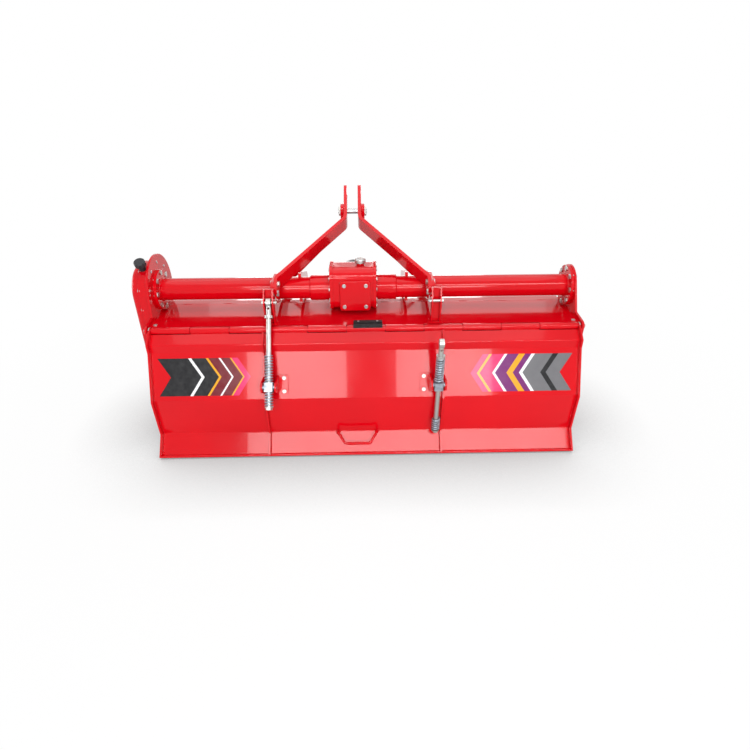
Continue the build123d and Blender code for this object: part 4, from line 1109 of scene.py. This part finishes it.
class ROTAVATOR_OT_stage(bpy.types.Operator):
    """Set up the floor, the soft boxes, the white surround and the camera"""

    bl_idname = "rotavator.stage"
    bl_label = "Studio"

    def execute(self, context):
        studio = context.scene.rotavator_studio
        origin = Vector((CENTRE_X, BEAM.y, 0))
        self.floor()
        self.surround(studio)
        self.soft_boxes(studio, origin)
        self.camera(studio, origin)
        context.scene.view_settings.view_transform = "Standard"
        return {"FINISHED"}

    def shown(self, finish):
        """Factor that is 1 for rays that see the background: camera, glossy and transmission rays."""
        camera = finish.node("ShaderNodeLightPath", out="Is Camera Ray")
        glossy = finish.node("ShaderNodeLightPath", out="Is Glossy Ray")
        through = finish.node("ShaderNodeLightPath", out="Is Transmission Ray")
        return camera + glossy + through

    def floor(self):
        deselect()
        bpy.ops.mesh.primitive_plane_add(size=FLOOR_SIDE)
        edit()
        bpy.ops.mesh.subdivide(number_cuts=5)
        ground = leave()
        ground.name = "studio_floor"
        finish = Finish("studio_floor")
        speck = finish.between(finish.noise(30, 4), 0.3, 0.7)
        paper = finish.blend(speck, (0.80, 0.80, 0.80, 1), (0.82, 0.82, 0.82, 1))
        matt = finish.node("ShaderNodeBsdfDiffuse", None, {"Color": paper})
        # Painted shade: ambient occlusion dims the floor's white glow, so the floor darkens under and round
        # the machine where shade falls; only the small matt share takes real shadow from the lamps
        sockets = {"Distance": FLOOR_SHADE_REACH}
        painted_floor_shade = finish.node("ShaderNodeAmbientOcclusion", {"samples": 8}, sockets, out="AO")
        glow = finish.node("ShaderNodeEmission", None, {"Color": (1, 1, 1, 1), "Strength": painted_floor_shade})
        away = finish.node("ShaderNodeVectorMath", {"operation": "LENGTH"}, {0: finish.here()}, out="Value")
        lit = self.shown(finish) * (0.9 + finish.between(away, FLOOR_FADE_START, FLOOR_FADE_END) * 0.1)
        mixed = finish.node("ShaderNodeMixShader", None, {0: lit, 1: matt, 2: glow})
        finish.node("ShaderNodeOutputMaterial", None, {"Surface": mixed})
        ground.data.materials.append(finish.material)

    def surround(self, studio):
        world = bpy.data.worlds.new("studio")
        world.use_nodes = True
        bpy.context.scene.world = world
        finish = Finish("studio", world.node_tree)
        white = finish.node("ShaderNodeBackground", None, {"Color": (1, 1, 1, 1), "Strength": 1.0})
        soft = finish.node("ShaderNodeBackground", None, {"Color": (1, 1, 1, 1), "Strength": studio.fill})
        mixed = finish.node("ShaderNodeMixShader", None, {0: self.shown(finish), 1: soft, 2: white})
        finish.node("ShaderNodeOutputWorld", None, {"Surface": mixed})

    def soft_boxes(self, studio, origin):
        """Boxes behind the camera, at the sides and in front, two panels ahead and a ceiling of light."""
        boxes = [
            ("box_left", (-0.80, -BOX_REACH, 1.4), (1.24, 1.0), studio.box_glow),
            ("box_right", (1.04, -BOX_REACH, 1.4), (1.2, 1.0), studio.box_glow),
            ("box_high", (0.65, -BOX_REACH, 3.3), (4.6, 0.8), studio.box_glow),
            ("panel_ahead_left", (-1.3, BOX_REACH, 2.6), (1.6, 1.4), 0.4 * studio.ceiling_glow),
            ("panel_ahead_right", (1.5, BOX_REACH, 2.6), (2.2, 1.4), 0.4 * studio.ceiling_glow),
            ("ceiling", (0.0, 0.4, 3.6), (4.0, 4.0), studio.ceiling_glow),
            ("side_left", (-BOX_REACH, 0.3, 1.3), (2.0, 1.8), 0.45 * studio.box_glow),
            ("side_right", (BOX_REACH, 0.3, 1.3), (2.0, 1.8), 0.45 * studio.box_glow),
            ("front", (0.0, BOX_REACH, 0.9), (3.2, 1.0), 0.5 * studio.box_glow),
        ]
        for name, place, size, glow in boxes:
            deselect()
            bpy.ops.object.light_add(type="AREA")
            lamp = bpy.context.object
            lamp.name = name
            lamp.data.shape = "RECTANGLE"
            lamp.data.size, lamp.data.size_y = size
            lamp.data.energy = glow * pi * size[0] * size[1]
            lamp.visible_camera = False
            lamp.location = origin + Vector(place)
            square_on = abs(place[1]) == BOX_REACH
            target = Vector((lamp.location.x if square_on else origin.x, origin.y, AIM_HEIGHT))
            lamp.rotation_euler = (target - lamp.location).to_track_quat("-Z", "Y").to_euler()

    def camera(self, studio, origin):
        bpy.ops.object.camera_add()
        eye = bpy.context.object
        eye.name = "camera"
        eye.data.sensor_width = 36
        eye.data.lens = studio.lens
        aim = Matrix.Rotation(-studio.yaw, 4, "Z") @ Matrix.Rotation(pi / 2 - studio.pitch, 4, "X")
        aim = aim @ Matrix.Rotation(-studio.roll, 4, "Z")
        eye.matrix_world = Matrix.Translation(origin + Vector(studio.camera)) @ aim
        bpy.context.scene.camera = eye


class ROTAVATOR_PT_panel(bpy.types.Panel):
    """Lists the steps that dress the machine"""

    bl_idname = "ROTAVATOR_PT_panel"
    bl_label = "Rotavator"
    bl_space_type = "VIEW_3D"
    bl_region_type = "UI"
    bl_category = "Rotavator"

    def draw(self, context):
        for step in STEPS:
            self.layout.operator(step.bl_idname)


GROUPS = {
    "rotavator_fasteners": RotavatorFasteners,
    "rotavator_colours": RotavatorColours,
    "rotavator_studio": RotavatorStudio,
}
STEPS = (
    ROTAVATOR_OT_finishes,
    ROTAVATOR_OT_beam_bolts,
    ROTAVATOR_OT_gearbox_bolts,
    ROTAVATOR_OT_case_bolts,
    ROTAVATOR_OT_mast_bolts,
    ROTAVATOR_OT_tailboard_bolts,
    ROTAVATOR_OT_hood_trim,
    ROTAVATOR_OT_skid_bolts,
    ROTAVATOR_OT_blade_bolts,
    ROTAVATOR_OT_clips,
    ROTAVATOR_OT_welds,
    ROTAVATOR_OT_stripes,
    ROTAVATOR_OT_stage,
)
CLASSES = (*GROUPS.values(), *STEPS, ROTAVATOR_PT_panel)


def register():
    for kind in CLASSES:
        bpy.utils.register_class(kind)
    for name, group in GROUPS.items():
        setattr(bpy.types.Scene, name, bpy.props.PointerProperty(type=group))


def unregister():
    for name in GROUPS:
        delattr(bpy.types.Scene, name)
    for kind in reversed(CLASSES):
        bpy.utils.unregister_class(kind)


def main():
    register()
    for step in STEPS:
        family, name = step.bl_idname.split(".")
        getattr(getattr(bpy.ops, family), name)()


if __name__ == "__main__":
    main()
